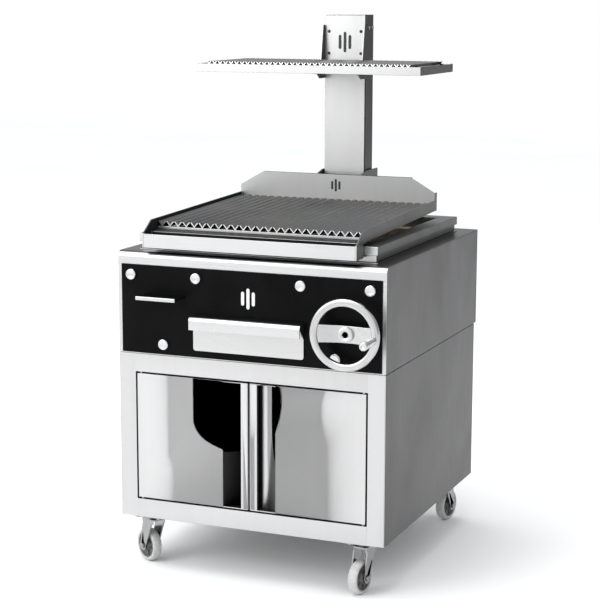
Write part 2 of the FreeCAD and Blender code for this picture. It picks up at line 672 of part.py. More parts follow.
def charcoal_grate():
    """Cast plate with rows of slots over the ash hole."""
    half = ASH_HOLE_WIDTH / 2.0 + GRATE_LEDGE
    y0 = ASH_HOLE_FRONT - GRATE_LEDGE
    y1 = ASH_HOLE_BACK + GRATE_LEDGE
    plate = block(-half, half, y0, y1, SHELL_FLOOR, SHELL_FLOOR + CHARCOAL_GRATE_THICKNESS)
    count = int((ASH_HOLE_BACK - ASH_HOLE_FRONT - CHARCOAL_SLOT) / CHARCOAL_SLOT_PITCH)
    first = (ASH_HOLE_FRONT + ASH_HOLE_BACK - count * CHARCOAL_SLOT_PITCH) / 2.0
    slots = []
    for i in range(count + 1):
        y = first + i * CHARCOAL_SLOT_PITCH
        for side in (-1, 1):
            x0 = 8.0 if side > 0 else -half + GRATE_LEDGE
            x1 = half - GRATE_LEDGE if side > 0 else -8.0
            slots.append(block(x0, x1, y - CHARCOAL_SLOT / 2.0, y + CHARCOAL_SLOT / 2.0,
                               SHELL_FLOOR - 1, SHELL_FLOOR + CHARCOAL_GRATE_THICKNESS + 1))
    return plate.cut(slots)


def ash_chute():
    half = ASH_HOLE_WIDTH / 2.0
    z0 = SHELL_BOTTOM - CHUTE_HEIGHT
    outer = block(-half - SHEET, half + SHEET, ASH_HOLE_FRONT - SHEET, ASH_HOLE_BACK + SHEET,
                  z0, SHELL_BOTTOM)
    inner = block(-half, half, ASH_HOLE_FRONT, ASH_HOLE_BACK, z0 - 1, SHELL_BOTTOM + 1)
    return outer.cut(inner)


# ---------------------------------------------------------------- air damper
def damper_grip():
    """Lip along the front edge of the pull plate, with rounded ends."""
    half = DAMPER_GRIP_WIDTH / 2.0
    bar = block(DAMPER_X - half, DAMPER_X + half, -DAMPER_REACH,
                -DAMPER_REACH + DAMPER_GRIP_THICKNESS, DAMPER_Z - DAMPER_GRIP_HEIGHT / 2.0,
                DAMPER_Z + DAMPER_GRIP_HEIGHT / 2.0)
    corners = [e for e in bar.Edges
               if abs(e.CenterOfMass.y + DAMPER_REACH) < 0.01
               and abs(abs(e.CenterOfMass.x - DAMPER_X) - half) < 0.01]
    return bar.makeFillet(DAMPER_GRIP_THICKNESS * 0.6, corners)


def damper_plate():
    """Slotted slide under the firebox floor, whose front end is the pull plate."""
    y0 = DAMPER_PLATE_FRONT
    half = DAMPER_PLATE_WIDTH / 2.0
    plate = block(DAMPER_X - half, DAMPER_X + half, y0, y0 + DAMPER_PLATE_LENGTH,
                  DAMPER_PLATE_BOTTOM, DAMPER_PLATE_TOP)
    plate = plate.cut(air_slots(first_air_slot() - DAMPER_TRAVEL, DAMPER_PLATE_BOTTOM - 1,
                                DAMPER_PLATE_TOP + 1))
    pull_half = DAMPER_GRIP_WIDTH / 2.0
    pull = block(DAMPER_X - pull_half, DAMPER_X + pull_half,
                 -DAMPER_REACH + DAMPER_GRIP_THICKNESS, y0 + DAMPER_HEAD_LENGTH,
                 DAMPER_PLATE_BOTTOM, DAMPER_PLATE_TOP)
    return fused([plate, pull])


def damper_guides():
    """Two angles under the firebox floor that carry the damper plate."""
    x0 = DAMPER_PLATE_WIDTH / 2.0 - GUIDE_LEDGE
    x1 = DAMPER_PLATE_WIDTH / 2.0 + SLIDE_CLEAR
    x2 = x1 + GUIDE_THICKNESS
    y0 = DAMPER_PLATE_FRONT + DAMPER_HEAD_LENGTH + DAMPER_TRAVEL + 5.0
    y1 = DAMPER_PLATE_FRONT + DAMPER_PLATE_LENGTH + DAMPER_TRAVEL
    ledge_top = DAMPER_PLATE_BOTTOM - SLIDE_CLEAR
    ledge_bottom = ledge_top - GUIDE_THICKNESS
    guides = []
    for side in (-1, 1):
        wall_low, wall_high = sorted((DAMPER_X + side * x1, DAMPER_X + side * x2))
        low, high = sorted((DAMPER_X + side * x0, DAMPER_X + side * x2))
        wall = block(wall_low, wall_high, y0, y1, ledge_bottom, SHELL_BOTTOM)
        guides.append(fused([wall, block(low, high, y0, y1, ledge_bottom, ledge_top)]))
    return group(guides)


# ---------------------------------------------------------------- ash drawer
def tray_half():
    return DRAWER_WIDTH / 2.0 - DRAWER_EDGE - 2 * SLIDE_CLEAR


def tray_bottom():
    return DRAWER_BOTTOM + DRAWER_EDGE + 2 * SLIDE_CLEAR


def drawer_front():
    """Face plate whose top turns forward and down into a hooded grip, with closed ends."""
    t = DRAWER_FACE
    y_face = PANEL_FACE - SLIDE_CLEAR
    y_lip = -DRAWER_HOOD_REACH
    outer = rounded_front(DRAWER_HOOD_R, y_lip, DRAWER_TOP, -DRAWER_WIDTH / 2.0,
                          DRAWER_WIDTH / 2.0, y_face, DRAWER_HOOD_BOTTOM)
    inner = rounded_front(DRAWER_HOOD_R - t, y_lip + t, DRAWER_TOP - t,
                          -DRAWER_WIDTH / 2.0 - 1, DRAWER_WIDTH / 2.0 + 1,
                          y_face - t, DRAWER_HOOD_BOTTOM - 1)
    hood = outer.cut(inner)
    face = block(-DRAWER_WIDTH / 2.0, DRAWER_WIDTH / 2.0, y_face - t, y_face,
                 DRAWER_BOTTOM, DRAWER_TOP - 1)
    corners = [e for e in face.Edges
               if abs(e.CenterOfMass.z - DRAWER_BOTTOM) < 0.01
               and abs(abs(e.CenterOfMass.x) - DRAWER_WIDTH / 2.0) < 0.01]
    face = face.makeFillet(DRAWER_CORNER_R, corners)
    end_profile = [(y_lip + 1, DRAWER_TOP - DRAWER_HOOD_R), (y_lip + DRAWER_HOOD_R, DRAWER_TOP - 1),
                   (y_face - 1, DRAWER_TOP - 1), (y_face - 1, DRAWER_HOOD_BOTTOM - 8.0)]
    ends = []
    for side in (-1, 1):
        x = side * DRAWER_WIDTH / 2.0
        ends.append(prism_x(end_profile, x, x - side * t))
    return fused([hood, face] + ends)


def ash_tray():
    """Open box behind the drawer front that catches the ash."""
    half = tray_half()
    z0 = tray_bottom()
    y_front = PANEL_FACE - SLIDE_CLEAR
    outer = block(-half, half, y_front, TRAY_DEPTH, z0, z0 + TRAY_HEIGHT)
    inner = block(-half + TRAY_WALL, half - TRAY_WALL, y_front + TRAY_WALL,
                  TRAY_DEPTH - TRAY_WALL, z0 + TRAY_WALL, z0 + TRAY_HEIGHT + 1)
    return outer.cut(inner)


def drawer_runner():
    """Right-hand runner angle that the tray slides on, standing on the deck."""
    x_wall = tray_half() + SLIDE_CLEAR
    y0 = SHEET
    ledge_top = tray_bottom() - SLIDE_CLEAR
    ledge = block(x_wall - RUNNER_WIDTH, x_wall + RUNNER_WALL, y0, TRAY_DEPTH,
                  ledge_top - RUNNER_WALL, ledge_top)
    wall = block(x_wall, x_wall + RUNNER_WALL, y0, TRAY_DEPTH, DECK_TOP,
                 ledge_top + RUNNER_UP)
    return fused([ledge, wall])


# ---------------------------------------------------------------- column
def column_channel():
    """Lipped channel, open at the front, from the deck to the top of the column."""
    z0 = DECK_TOP + COLUMN_FOOT_THICKNESS
    outer = block(-COLUMN_HALF, COLUMN_HALF, SLOT_BACK, COLUMN_BACK, z0, CAP_BOTTOM)
    inner = block(-COLUMN_IN_HALF, COLUMN_IN_HALF, SLOT_BACK + COLUMN_WALL,
                  COLUMN_BACK - COLUMN_WALL, z0 - 1, CAP_BOTTOM + 1)
    mouth_half = COLUMN_IN_HALF - COLUMN_LIP
    mouth = block(-mouth_half, mouth_half, SLOT_BACK - 1, SLOT_BACK + COLUMN_WALL + 1,
                  z0 - 1, CAP_BOTTOM + 1)
    bush_hole = rod(CROSS_SHAFT_R + PASS_CLEAR, vec(0, SCREW_Y, CRANK_Z),
                    vec(COLUMN_HALF + 1, SCREW_Y, CRANK_Z))
    return outer.cut([inner, mouth, bush_hole])


def cover_spacers():
    """Blocks that hold the front cover off the channel's lips, clear of the lift's path."""
    x0 = COVER_SCREW_X - 7.0
    x1 = COVER_SCREW_X + 3.5
    levels = [z for z in COVER_SCREW_Z] + [BODY_TOP + 14.0]
    blocks = []
    for z in levels:
        for side in (-1, 1):
            low, high = sorted((side * x0, side * x1))
            blocks.append(block(low, high, SLOT_FRONT, SLOT_BACK, z - 10.0, z + 10.0))
    return blocks


def column_cover():
    plate = block(-COLUMN_HALF, COLUMN_HALF, COLUMN_FRONT, SLOT_FRONT, BODY_TOP, CAP_BOTTOM)
    return fused([plate] + cover_spacers())


def cover_screws():
    screws = []
    for z in COVER_SCREW_Z:
        for side in (-1, 1):
            x = side * COVER_SCREW_X
            head = rod(COVER_SCREW_R, vec(x, COLUMN_FRONT, z), vec(x, COLUMN_FRONT - 2.5, z))
            rim = [e for e in head.Edges if abs(e.CenterOfMass.y - COLUMN_FRONT + 2.5) < 0.01]
            screws.append(head.makeFillet(1.2, rim))
    return group(screws)


def column_cap():
    return block(-COLUMN_HALF, COLUMN_HALF, COLUMN_FRONT, COLUMN_BACK, CAP_BOTTOM, COLUMN_TOP)


def column_foot():
    y_mid = (SLOT_BACK + COLUMN_BACK) / 2.0
    return block(-COLUMN_FOOT_WIDTH / 2.0, COLUMN_FOOT_WIDTH / 2.0,
                 y_mid - COLUMN_FOOT_DEPTH / 2.0, y_mid + COLUMN_FOOT_DEPTH / 2.0 - 20.0,
                 DECK_TOP, DECK_TOP + COLUMN_FOOT_THICKNESS)


# ---------------------------------------------------------------- upper rack
def vee_channel(x, y, z, run, width, depth, wall):
    """Open V of bent sheet with its apex line starting at (x, y, z)."""
    w = width / 2.0
    slant = math.hypot(w, depth)
    rise = wall * slant / w
    inset = wall * slant / depth
    outline = [(x, y, z), (x + w, y, z + depth), (x + w - inset, y, z + depth),
               (x, y, z + rise), (x - w + inset, y, z + depth), (x - w, y, z + depth)]
    return prism(outline, run)


def rack_channel_under():
    return RACK_BOTTOM + RACK_HEIGHT + RACK_CHANNEL_PROUD - RACK_CHANNEL_DEPTH


def bracket_profile():
    """Outline (y, z) of a rack bracket: a tapered ear on the column and an arm forward."""
    arm_top = rack_channel_under() - RACK_CROSS_HEIGHT
    return [
        (COLUMN_BACK - 10.0, BRACKET_BOTTOM), (COLUMN_BACK - 10.0, BRACKET_TOP),
        (COLUMN_FRONT - 13.0, BRACKET_TOP), (COLUMN_FRONT - 31.0, arm_top),
        (RACK_FRONT + RACK_WALL, arm_top), (RACK_FRONT + RACK_WALL, arm_top - 10.0),
        (COLUMN_FRONT - 56.0, BRACKET_BOTTOM + 13.0), (COLUMN_FRONT - 37.0, BRACKET_BOTTOM),
    ]


def rack_bracket():
    return prism_x(bracket_profile(), COLUMN_HALF, COLUMN_HALF + BRACKET_THICKNESS)


def bracket_bolts():
    bolts = []
    for y in (COLUMN_FRONT + 22.0, COLUMN_FRONT + 50.0):
        for z in (BRACKET_TOP - 8.0, BRACKET_BOTTOM + 15.0):
            for side in (-1, 1):
                x = side * (COLUMN_HALF + BRACKET_THICKNESS)
                bolts.append(rod(BRACKET_BOLT_R, vec(x, y, z), vec(x + side * 3.0, y, z)))
    return group(bolts)


def rack_frame():
    """Four frame bars, the rear one let over the bracket arms, and two cross bars."""
    half = RACK_WIDTH / 2.0
    w = RACK_WALL
    top = RACK_BOTTOM + RACK_HEIGHT
    front = block(-half, half, RACK_FRONT, RACK_FRONT + w, RACK_BOTTOM, top)
    rear = block(-half, half, RACK_BACK - w, RACK_BACK, RACK_BOTTOM, top)
    for side in (-1, 1):
        mid = side * (COLUMN_HALF + BRACKET_THICKNESS / 2.0)
        rear = rear.cut(block(mid - BRACKET_THICKNESS / 2.0, mid + BRACKET_THICKNESS / 2.0,
                              RACK_BACK - w - 1, RACK_BACK + 1, RACK_BOTTOM - 1, top + 1))
    left = block(-half, -half + w, RACK_FRONT + w, RACK_BACK - w, RACK_BOTTOM, top)
    right = mirrored(left)
    cross = []
    for share in (0.25, 0.75):
        y = RACK_FRONT + share * (RACK_BACK - RACK_FRONT)
        cross.append(block(-half + w, half - w, y - 3.0, y + 3.0,
                           rack_channel_under() - RACK_CROSS_HEIGHT, rack_channel_under()))
    return group([front, rear, left, right] + cross)


def rack_channels():
    """Small V-shaped channels from front to back, lying on the cross bars."""
    y0 = RACK_FRONT + RACK_WALL
    channels = []
    for i in range(RACK_CHANNEL_COUNT):
        x = (i - (RACK_CHANNEL_COUNT - 1) / 2.0) * RACK_CHANNEL_PITCH
        beside = abs(abs(x) - COLUMN_HALF - BRACKET_THICKNESS / 2.0)
        meets_bracket = beside < (RACK_CHANNEL_WIDTH + BRACKET_THICKNESS) / 2.0
        y1 = COLUMN_FRONT - 33.0 if meets_bracket else RACK_BACK - RACK_WALL
        channels.append(vee_channel(x, y0, rack_channel_under(), vec(0, y1 - y0, 0),
                                    RACK_CHANNEL_WIDTH, RACK_CHANNEL_DEPTH, RACK_CHANNEL_WALL))
    return group(channels)


# ---------------------------------------------------------------- lifting grate
def grate_line(y, drop):
    """Height of the grate at a depth y, a given distance under its top edge."""
    return GRATE_TOP_FRONT + GRATE_SLOPE * (y - GRATE_FRONT) - drop


def side_plate_profile():
    """Outline (y, z): level arm that slopes up to the back, and the trough's end."""
    low = SIDE_PLATE_HEIGHT
    return [
        (TROUGH_FRONT, TROUGH_BOTTOM), (TROUGH_FRONT, TROUGH_TOP),
        (GRATE_FRONT, GRATE_TOP_FRONT), (GRATE_BACK, GRATE_TOP_BACK),
        (GRATE_BACK, GRATE_TOP_BACK - low), (TROUGH_BACK + 22.0, grate_line(TROUGH_BACK + 22.0, low)),
        (TROUGH_BACK, TROUGH_TOP), (TROUGH_BACK, TROUGH_BOTTOM),
    ]


def support_spots():
    span = GRATE_BACK - GRATE_FRONT
    return [CHANNEL_FRONT + SUPPORT_WIDTH / 2.0, GRATE_FRONT + 0.5 * span, GRATE_BACK - 20.0]


def channel_under(y):
    return grate_line(y, CHANNEL_SET_DOWN + CHANNEL_DEPTH)


def grate_frame():
    """Two side plates, three cross supports and the apron that leads to the trough."""
    side = prism_x(side_plate_profile(), GRATE_IN_HALF, GRATE_HALF)
    pieces = [side, mirrored(side)]
    for y in support_spots():
        a = y - SUPPORT_WIDTH / 2.0
        b = y + SUPPORT_WIDTH / 2.0
        outline = [(a, channel_under(a)), (b, channel_under(b)),
                   (b, channel_under(b) - SUPPORT_HEIGHT), (a, channel_under(a) - SUPPORT_HEIGHT)]
        pieces.append(prism_x(outline, -GRATE_IN_HALF, GRATE_IN_HALF))
    a, b = TROUGH_BACK - APRON_LAP, CHANNEL_FRONT + SUPPORT_WIDTH
    low = TROUGH_TOP + SLIDE_CLEAR
    apron = [(a, low), (b, low + APRON_RISE), (b, low + APRON_RISE + APRON_THICKNESS),
             (a, low + APRON_THICKNESS)]
    pieces.append(prism_x(apron, -GRATE_IN_HALF, GRATE_IN_HALF))
    return group(pieces)


def grate_channels():
    """V-shaped channels side by side, sloping down to the apron and the trough."""
    y0 = CHANNEL_FRONT
    y1 = GRATE_BACK - 2.0
    run = vec(0, y1 - y0, GRATE_SLOPE * (y1 - y0))
    channels = []
    for i in range(CHANNEL_COUNT):
        x = (i - (CHANNEL_COUNT - 1) / 2.0) * CHANNEL_PITCH
        channels.append(vee_channel(x, y0, channel_under(y0), run,
                                    CHANNEL_WIDTH, CHANNEL_DEPTH, CHANNEL_WALL))
    return group(channels)


def drip_trough():
    """Open trough between the side plates, under the front ends of the channels."""
    w = TROUGH_WALL
    outer = block(-GRATE_IN_HALF, GRATE_IN_HALF, TROUGH_FRONT, TROUGH_BACK,
                  TROUGH_BOTTOM, TROUGH_TOP)
    inner = block(-GRATE_IN_HALF - 1, GRATE_IN_HALF + 1, TROUGH_FRONT + w, TROUGH_BACK - w,
                  TROUGH_BOTTOM + w, TROUGH_TOP + 1)
    return outer.cut(inner)


def backsplash():
    half = GRATE_HALF - 1.0
    top = SPLASH_TOP_WIDTH / 2.0
    bottom = GRATE_TOP_BACK - SIDE_PLATE_HEIGHT
    t = SPLASH_THICKNESS
    outline = [(-half, bottom), (-half, SPLASH_SHOULDER), (-top, SPLASH_TOP),
               (top, SPLASH_TOP), (half, SPLASH_SHOULDER), (half, bottom)]
    plate = prism_y(outline, GRATE_BACK, SPLASH_BACK)
    hem = block(-top, top, GRATE_BACK, GRATE_BACK + SPLASH_HEM, SPLASH_TOP - t, SPLASH_TOP)
    ends = []
    for side in (-1, 1):
        x0, x1 = sorted((side * half, side * (half - t)))
        ends.append(block(x0, x1, GRATE_BACK, GRATE_BACK + SPLASH_RETURN, bottom, SPLASH_SHOULDER))
    return fused([plate, hem] + ends)


# ---------------------------------------------------------------- lift yoke
def lift_yoke():
    """Two arms that hug the column, with the tie plate behind it."""
    arm = prism_x([
        (SPLASH_BACK, YOKE_BOTTOM), (SPLASH_BACK, SPLASH_TOP - 6.0),
        (COLUMN_FRONT, YOKE_TOP), (YOKE_BACK, YOKE_TOP), (YOKE_BACK, YOKE_BOTTOM),
    ], YOKE_IN_HALF, YOKE_HALF)
    tie = block(-YOKE_IN_HALF, YOKE_IN_HALF, YOKE_BACK - YOKE_TIE, YOKE_BACK,
                YOKE_BOTTOM + 5.0, YOKE_TOP - 5.0)
    return fused([arm, mirrored(arm), tie])


def glide_pads():
    """Slippery pads between the yoke and the column's sides and back."""
    pads = []
    for z in (YOKE_BOTTOM + 5.0, YOKE_TOP - 21.0):
        for y in (SLOT_BACK + 4.0, COLUMN_BACK - 24.0):
            pad = block(COLUMN_HALF + SLIDE_CLEAR, YOKE_IN_HALF, y, y + 20.0, z, z + 16.0)
            pads.append(pad)
            pads.append(mirrored(pad))
    pads.append(block(-25.0, 25.0, COLUMN_BACK + SLIDE_CLEAR, YOKE_BACK - YOKE_TIE,
                      YOKE_BOTTOM + 30.0, YOKE_BOTTOM + 60.0))
    return group(pads)


def lift_crossbar():
    """Bar through the column's side slots that joins the yoke to the nut."""
    y_mid = (SLOT_FRONT + SLOT_BACK) / 2.0
    return block(-YOKE_IN_HALF, YOKE_IN_HALF, y_mid - CROSSBAR_THICKNESS / 2.0,
                 y_mid + CROSSBAR_THICKNESS / 2.0, CROSSBAR_BOTTOM,
                 CROSSBAR_BOTTOM + CROSSBAR_HEIGHT)


def lift_nut():
    y0 = (SLOT_FRONT + SLOT_BACK) / 2.0 + CROSSBAR_THICKNESS / 2.0
    z0 = CROSSBAR_BOTTOM + (CROSSBAR_HEIGHT - NUT_HEIGHT) / 2.0
    body = block(-NUT_WIDTH / 2.0, NUT_WIDTH / 2.0, y0, SCREW_Y + NUT_WIDTH / 2.0,
                 z0, z0 + NUT_HEIGHT)
    bore = rod(SCREW_R + RUN_CLEAR, vec(0, SCREW_Y, z0 - 1), vec(0, SCREW_Y, z0 + NUT_HEIGHT + 1))
    return body.cut(bore)


# ---------------------------------------------------------------- mitre gears and shafts
def mitre_tooth(half_angle):
    """One tapered tooth whose pitch line runs down the 45 degree cone to the apex at 0."""
    outer = GEAR_R / math.sin(half_angle)
    shapes = []
    for dist in (outer, outer - GEAR_FACE):
        scale = dist / outer
        corners = []
        pitch_half = math.pi * GEAR_MODULE / 4.0 * TOOTH_FILL
        for width, height in ((pitch_half * 1.45, -1.35), (pitch_half, 0.0),
                              (pitch_half * 0.50, 0.9)):
            h = height * GEAR_MODULE * scale
            w = width * scale
            radial = dist * math.sin(half_angle) + h * math.cos(half_angle)
            axial = -dist * math.cos(half_angle) + h * math.sin(half_angle)
            corners.append((radial, w, axial))
        outline = [(r, w, a) for r, w, a in corners] + [(r, -w, a) for r, w, a in reversed(corners)]
        wire = Part.makePolygon([vec(*p) for p in outline + [outline[0]]])
        shapes.append(wire)
    return Part.makeLoft(shapes, True, True)


def mitre_gear(phase, bore_r):
    """Gear on the Z axis with its apex at the origin and its teeth towards +Z."""
    half_angle = math.radians(45.0)
    outer = GEAR_R / math.sin(half_angle)
    inner = outer - GEAR_FACE
    drop = 1.2 * GEAR_MODULE * math.cos(half_angle)
    profile = []
    for dist in (outer, inner):
        scale = dist / outer
        profile.append((dist * math.sin(half_angle) - drop * scale,
                        -dist * math.cos(half_angle) - drop * scale))
    (r_out, z_out), (r_in, z_in) = profile
    back = z_out - 3.0
    outline = [(bore_r, back - GEAR_HUB_LENGTH), (GEAR_HUB_R, back - GEAR_HUB_LENGTH),
               (GEAR_HUB_R, back), (r_out, back), (r_out, z_out), (r_in, z_in), (bore_r, z_in)]
    wire = Part.makePolygon([vec(r, 0, z) for r, z in outline + [outline[0]]])
    blank = Part.Face(wire).revolve(vec(0, 0, 0), vec(0, 0, 1), 360)
    tooth = mitre_tooth(half_angle)
    teeth = []
    for i in range(GEAR_TEETH):
        copy = tooth.copy()
        copy.rotate(vec(0, 0, 0), vec(0, 0, 1), phase + i * 360.0 / GEAR_TEETH)
        teeth.append(copy)
    return blank.multiFuse(teeth)


def gear_on(axis, apex, phase, bore_r):
    """Mitre gear whose teeth point along an axis towards the apex."""
    gear = mitre_gear(phase, bore_r)
    turn = FreeCAD.Rotation(vec(0, 0, 1), vec(*axis))
    gear.Placement = FreeCAD.Placement(vec(*apex), turn)
    return gear


def front_apex():
    return (CRANK_X, SCREW_Y, CRANK_Z)


def column_apex():
    return (0.0, SCREW_Y, CRANK_Z)


def wheel_shaft():
    return rod(SHAFT_R, vec(CRANK_X, HUB_FRONT + HUB_SOCKET_DEPTH, CRANK_Z),
               vec(CRANK_X, SCREW_Y - GEAR_R + 4.0, CRANK_Z))


def shaft_gear():
    return gear_on((0, 1, 0), front_apex(), 0.0, SHAFT_R)


def cross_shaft():
    return rod(CROSS_SHAFT_R, vec(GEAR_R - 4.0, SCREW_Y, CRANK_Z),
               vec(CRANK_X - GEAR_R + 4.0, SCREW_Y, CRANK_Z))


def cross_gears():
    half_tooth = 180.0 / GEAR_TEETH
    outer = gear_on((1, 0, 0), front_apex(), half_tooth, CROSS_SHAFT_R)
    inner = gear_on((-1, 0, 0), column_apex(), 0.0, CROSS_SHAFT_R)
    return group([outer, inner])


def lead_screw():
    """Lift screw with plain journals in its bottom and top bearings."""
    foot = DECK_TOP + COLUMN_FOOT_THICKNESS + 2.0
    low = rod(SCREW_JOURNAL_R, vec(0, SCREW_Y, foot), vec(0, SCREW_Y, CRANK_Z + GEAR_R + 6.0))
    thread = rod(SCREW_R, vec(0, SCREW_Y, CRANK_Z + GEAR_R + 6.0), vec(0, SCREW_Y, SCREW_TOP))
    high = rod(SCREW_JOURNAL_R, vec(0, SCREW_Y, SCREW_TOP),
               vec(0, SCREW_Y, SCREW_TOP + TOP_BEARING_HEIGHT + 4.0))
    return fused([low, thread, high])


def screw_gear():
    half_tooth = 180.0 / GEAR_TEETH
    return gear_on((0, 0, 1), column_apex(), half_tooth, SCREW_JOURNAL_R)


def bearing_block(x, y, along_y):
    """Pedestal on the deck with a running bore for a shaft at crank height."""
    w = BLOCK_WIDTH / 2.0
    t = BLOCK_THICKNESS / 2.0
    if along_y:
        body = block(x - w, x + w, y - t, y + t, DECK_TOP, CRANK_Z + BLOCK_RISE)
        bore = rod(SHAFT_R + RUN_CLEAR, vec(x, y - t - 1, CRANK_Z), vec(x, y + t + 1, CRANK_Z))
    else:
        body = block(x - t, x + t, y - w, y + w, DECK_TOP, CRANK_Z + BLOCK_RISE)
        bore = rod(CROSS_SHAFT_R + RUN_CLEAR, vec(x - t - 1, y, CRANK_Z), vec(x + t + 1, y, CRANK_Z))
    return body.cut(bore)


def drive_bearings():
    """Front flange bush, the two pedestals, and the bearings of the lift screw."""
    flange = rod(FRONT_BEARING_R, vec(CRANK_X, SHEET, CRANK_Z),
                 vec(CRANK_X, SHEET + FRONT_BEARING_LENGTH, CRANK_Z))
    flange = flange.cut(rod(SHAFT_R + RUN_CLEAR, vec(CRANK_X, 0, CRANK_Z),
                            vec(CRANK_X, SHEET + FRONT_BEARING_LENGTH + 1, CRANK_Z)))
    low_z = DECK_TOP + COLUMN_FOOT_THICKNESS
    low = block(-24.0, 24.0, SCREW_Y - 20.0, SCREW_Y + 20.0, low_z, low_z + BOTTOM_BEARING_HEIGHT)
    low = low.cut(rod(SCREW_JOURNAL_R + RUN_CLEAR, vec(0, SCREW_Y, low_z + 2.0),
                      vec(0, SCREW_Y, low_z + BOTTOM_BEARING_HEIGHT + 1)))
    high = block(-COLUMN_IN_HALF, COLUMN_IN_HALF, SLOT_BACK + COLUMN_WALL,
                 COLUMN_BACK - COLUMN_WALL, SCREW_TOP + 1.0, SCREW_TOP + 1.0 + TOP_BEARING_HEIGHT)
    high = high.cut(rod(SCREW_JOURNAL_R + RUN_CLEAR, vec(0, SCREW_Y, SCREW_TOP),
                        vec(0, SCREW_Y, SCREW_TOP + TOP_BEARING_HEIGHT + 2)))
    return group([flange, bearing_block(CRANK_X, REAR_BLOCK_BACK, True),
                  bearing_block(CROSS_BLOCK_X, SCREW_Y, False), low, high])


# ---------------------------------------------------------------- handwheel
def wheel_ring():
    y0 = WHEEL_FRONT
    y1 = WHEEL_FRONT + WHEEL_THICKNESS
    outer = rod(WHEEL_R, vec(CRANK_X, y0, CRANK_Z), vec(CRANK_X, y1, CRANK_Z))
    inner = rod(WHEEL_R - WHEEL_BAND, vec(CRANK_X, y0 - 1, CRANK_Z), vec(CRANK_X, y1 + 1, CRANK_Z))
    ring = outer.cut(inner)
    edges = [e for e in ring.Edges if e.Curve.TypeId == "Part::GeomCircle"]
    return ring.makeFillet(WHEEL_EDGE_FILLET, edges)


def wheel_spoke():
    """Flat bar across the ring, dished back to the hub."""
    reach = WHEEL_R - WHEEL_BAND + 2.0
    front = WHEEL_FRONT + WHEEL_THICKNESS / 2.0 - SPOKE_THICKNESS / 2.0
    back = front + WHEEL_DISH
    flat = HUB_R - 2.0
    t = SPOKE_THICKNESS
    outline = [(-reach, front), (-flat, back), (flat, back), (reach, front),
               (reach, front + t), (flat, back + t), (-flat, back + t), (-reach, front + t)]
    points = [(CRANK_X + x, y) for x, y in outline]
    return prism_z(points, CRANK_Z - SPOKE_HEIGHT / 2.0, CRANK_Z + SPOKE_HEIGHT / 2.0)


def hexagon(radius, y0, y1):
    """Six-sided prism about the crank axis."""
    points = []
    for i in range(6):
        a = math.radians(60.0 * i + 30.0)
        points.append((CRANK_X + radius * math.cos(a), CRANK_Z + radius * math.sin(a)))
    return prism_y(points, y0, y1)


def handwheel():
    hub = rod(HUB_R, vec(CRANK_X, HUB_FRONT, CRANK_Z), vec(CRANK_X, HUB_FRONT + HUB_LENGTH, CRANK_Z))
    pin_hole = rod(KNOB_PIN_R, vec(KNOB_X, WHEEL_FRONT - 1, KNOB_Z),
                   vec(KNOB_X, WHEEL_FRONT + WHEEL_THICKNESS + 1, KNOB_Z))
    bore = rod(SHAFT_R, vec(CRANK_X, HUB_FRONT + HUB_SOCKET_DEPTH, CRANK_Z),
               vec(CRANK_X, HUB_FRONT + HUB_LENGTH + 1, CRANK_Z))
    socket = hexagon(HUB_SOCKET_R, HUB_FRONT - 1, HUB_FRONT + HUB_SOCKET_DEPTH)
    whole = fused([wheel_ring(), wheel_spoke(), hub])
    return whole.cut([pin_hole, bore, socket])


def crank_pin():
    """Fixed pin that the grip turns on, with a collar between grip and wheel."""
    pin = rod(KNOB_PIN_R, vec(KNOB_X, WHEEL_FRONT + WHEEL_THICKNESS, KNOB_Z),
              vec(KNOB_X, -CRANK_REACH + KNOB_PIN_END_WALL + 0.5, KNOB_Z))
    collar = rod(KNOB_R_BASE - 1.0, vec(KNOB_X, WHEEL_FRONT, KNOB_Z),
                 vec(KNOB_X, WHEEL_FRONT - KNOB_GAP + SLIDE_CLEAR, KNOB_Z))
    return fused([pin, collar])


def crank_knob():
    """Tapered turning grip, larger at its rounded front end."""
    base = WHEEL_FRONT - KNOB_GAP
    length = CRANK_REACH + base
    cone = Part.makeCone(KNOB_R_BASE, KNOB_R_FRONT, length, vec(KNOB_X, base, KNOB_Z), vec(0, -1, 0))
    rim = [e for e in cone.Edges if abs(e.CenterOfMass.y + CRANK_REACH) < 0.01]
    cone = cone.makeFillet(KNOB_FILLET, rim)
    bore = rod(KNOB_PIN_R + RUN_CLEAR, vec(KNOB_X, base + 1, KNOB_Z),
               vec(KNOB_X, -CRANK_REACH + KNOB_PIN_END_WALL, KNOB_Z))
    return cone.cut(bore)


# ---------------------------------------------------------------- casters
def caster_spot(name):
    side, end, angle = CASTERS[name]
    x = side * (HALF - CASTER_INSET_X)
    y = CASTER_INSET_Y if end == "front" else LOWER_DEPTH - CASTER_INSET_Y
    return x, y, angle


def place_caster(shape, name):
    """Turn a caster piece drawn with its trail along +X, and put it on its corner."""
    x, y, angle = caster_spot(name)
    placed = shape.copy()
    placed.rotate(vec(0, 0, 0), vec(0, 0, 1), angle)
    placed.translate(vec(x, y, 0))
    return placed


def caster_plate():
    half = CASTER_PLATE_SIZE / 2.0
    plate = block(-half, half, -half, half, PLATE_UNDER, CASTER_HEIGHT)
    race = Part.makeCylinder(CASTER_RACE_R, CASTER_RACE_HEIGHT, vec(0, 0, RACE_UNDER))
    whole = fused([plate, race])
    socket = Part.makeCylinder(STEM_R + RUN_CLEAR, STEM_LENGTH + 0.5, vec(0, 0, RACE_UNDER - 0.1))
    whole = whole.cut(socket)
    heads = []
    for sx in (-1, 1):
        for sy in (-1, 1):
            spot = vec(sx * CASTER_BOLT_SPACING / 2.0, sy * CASTER_BOLT_SPACING / 2.0,
                       PLATE_UNDER - 4.0)
            heads.append(Part.makeCylinder(CASTER_BOLT_R * 1.6, 4.0, spot))
    return group([whole] + heads)


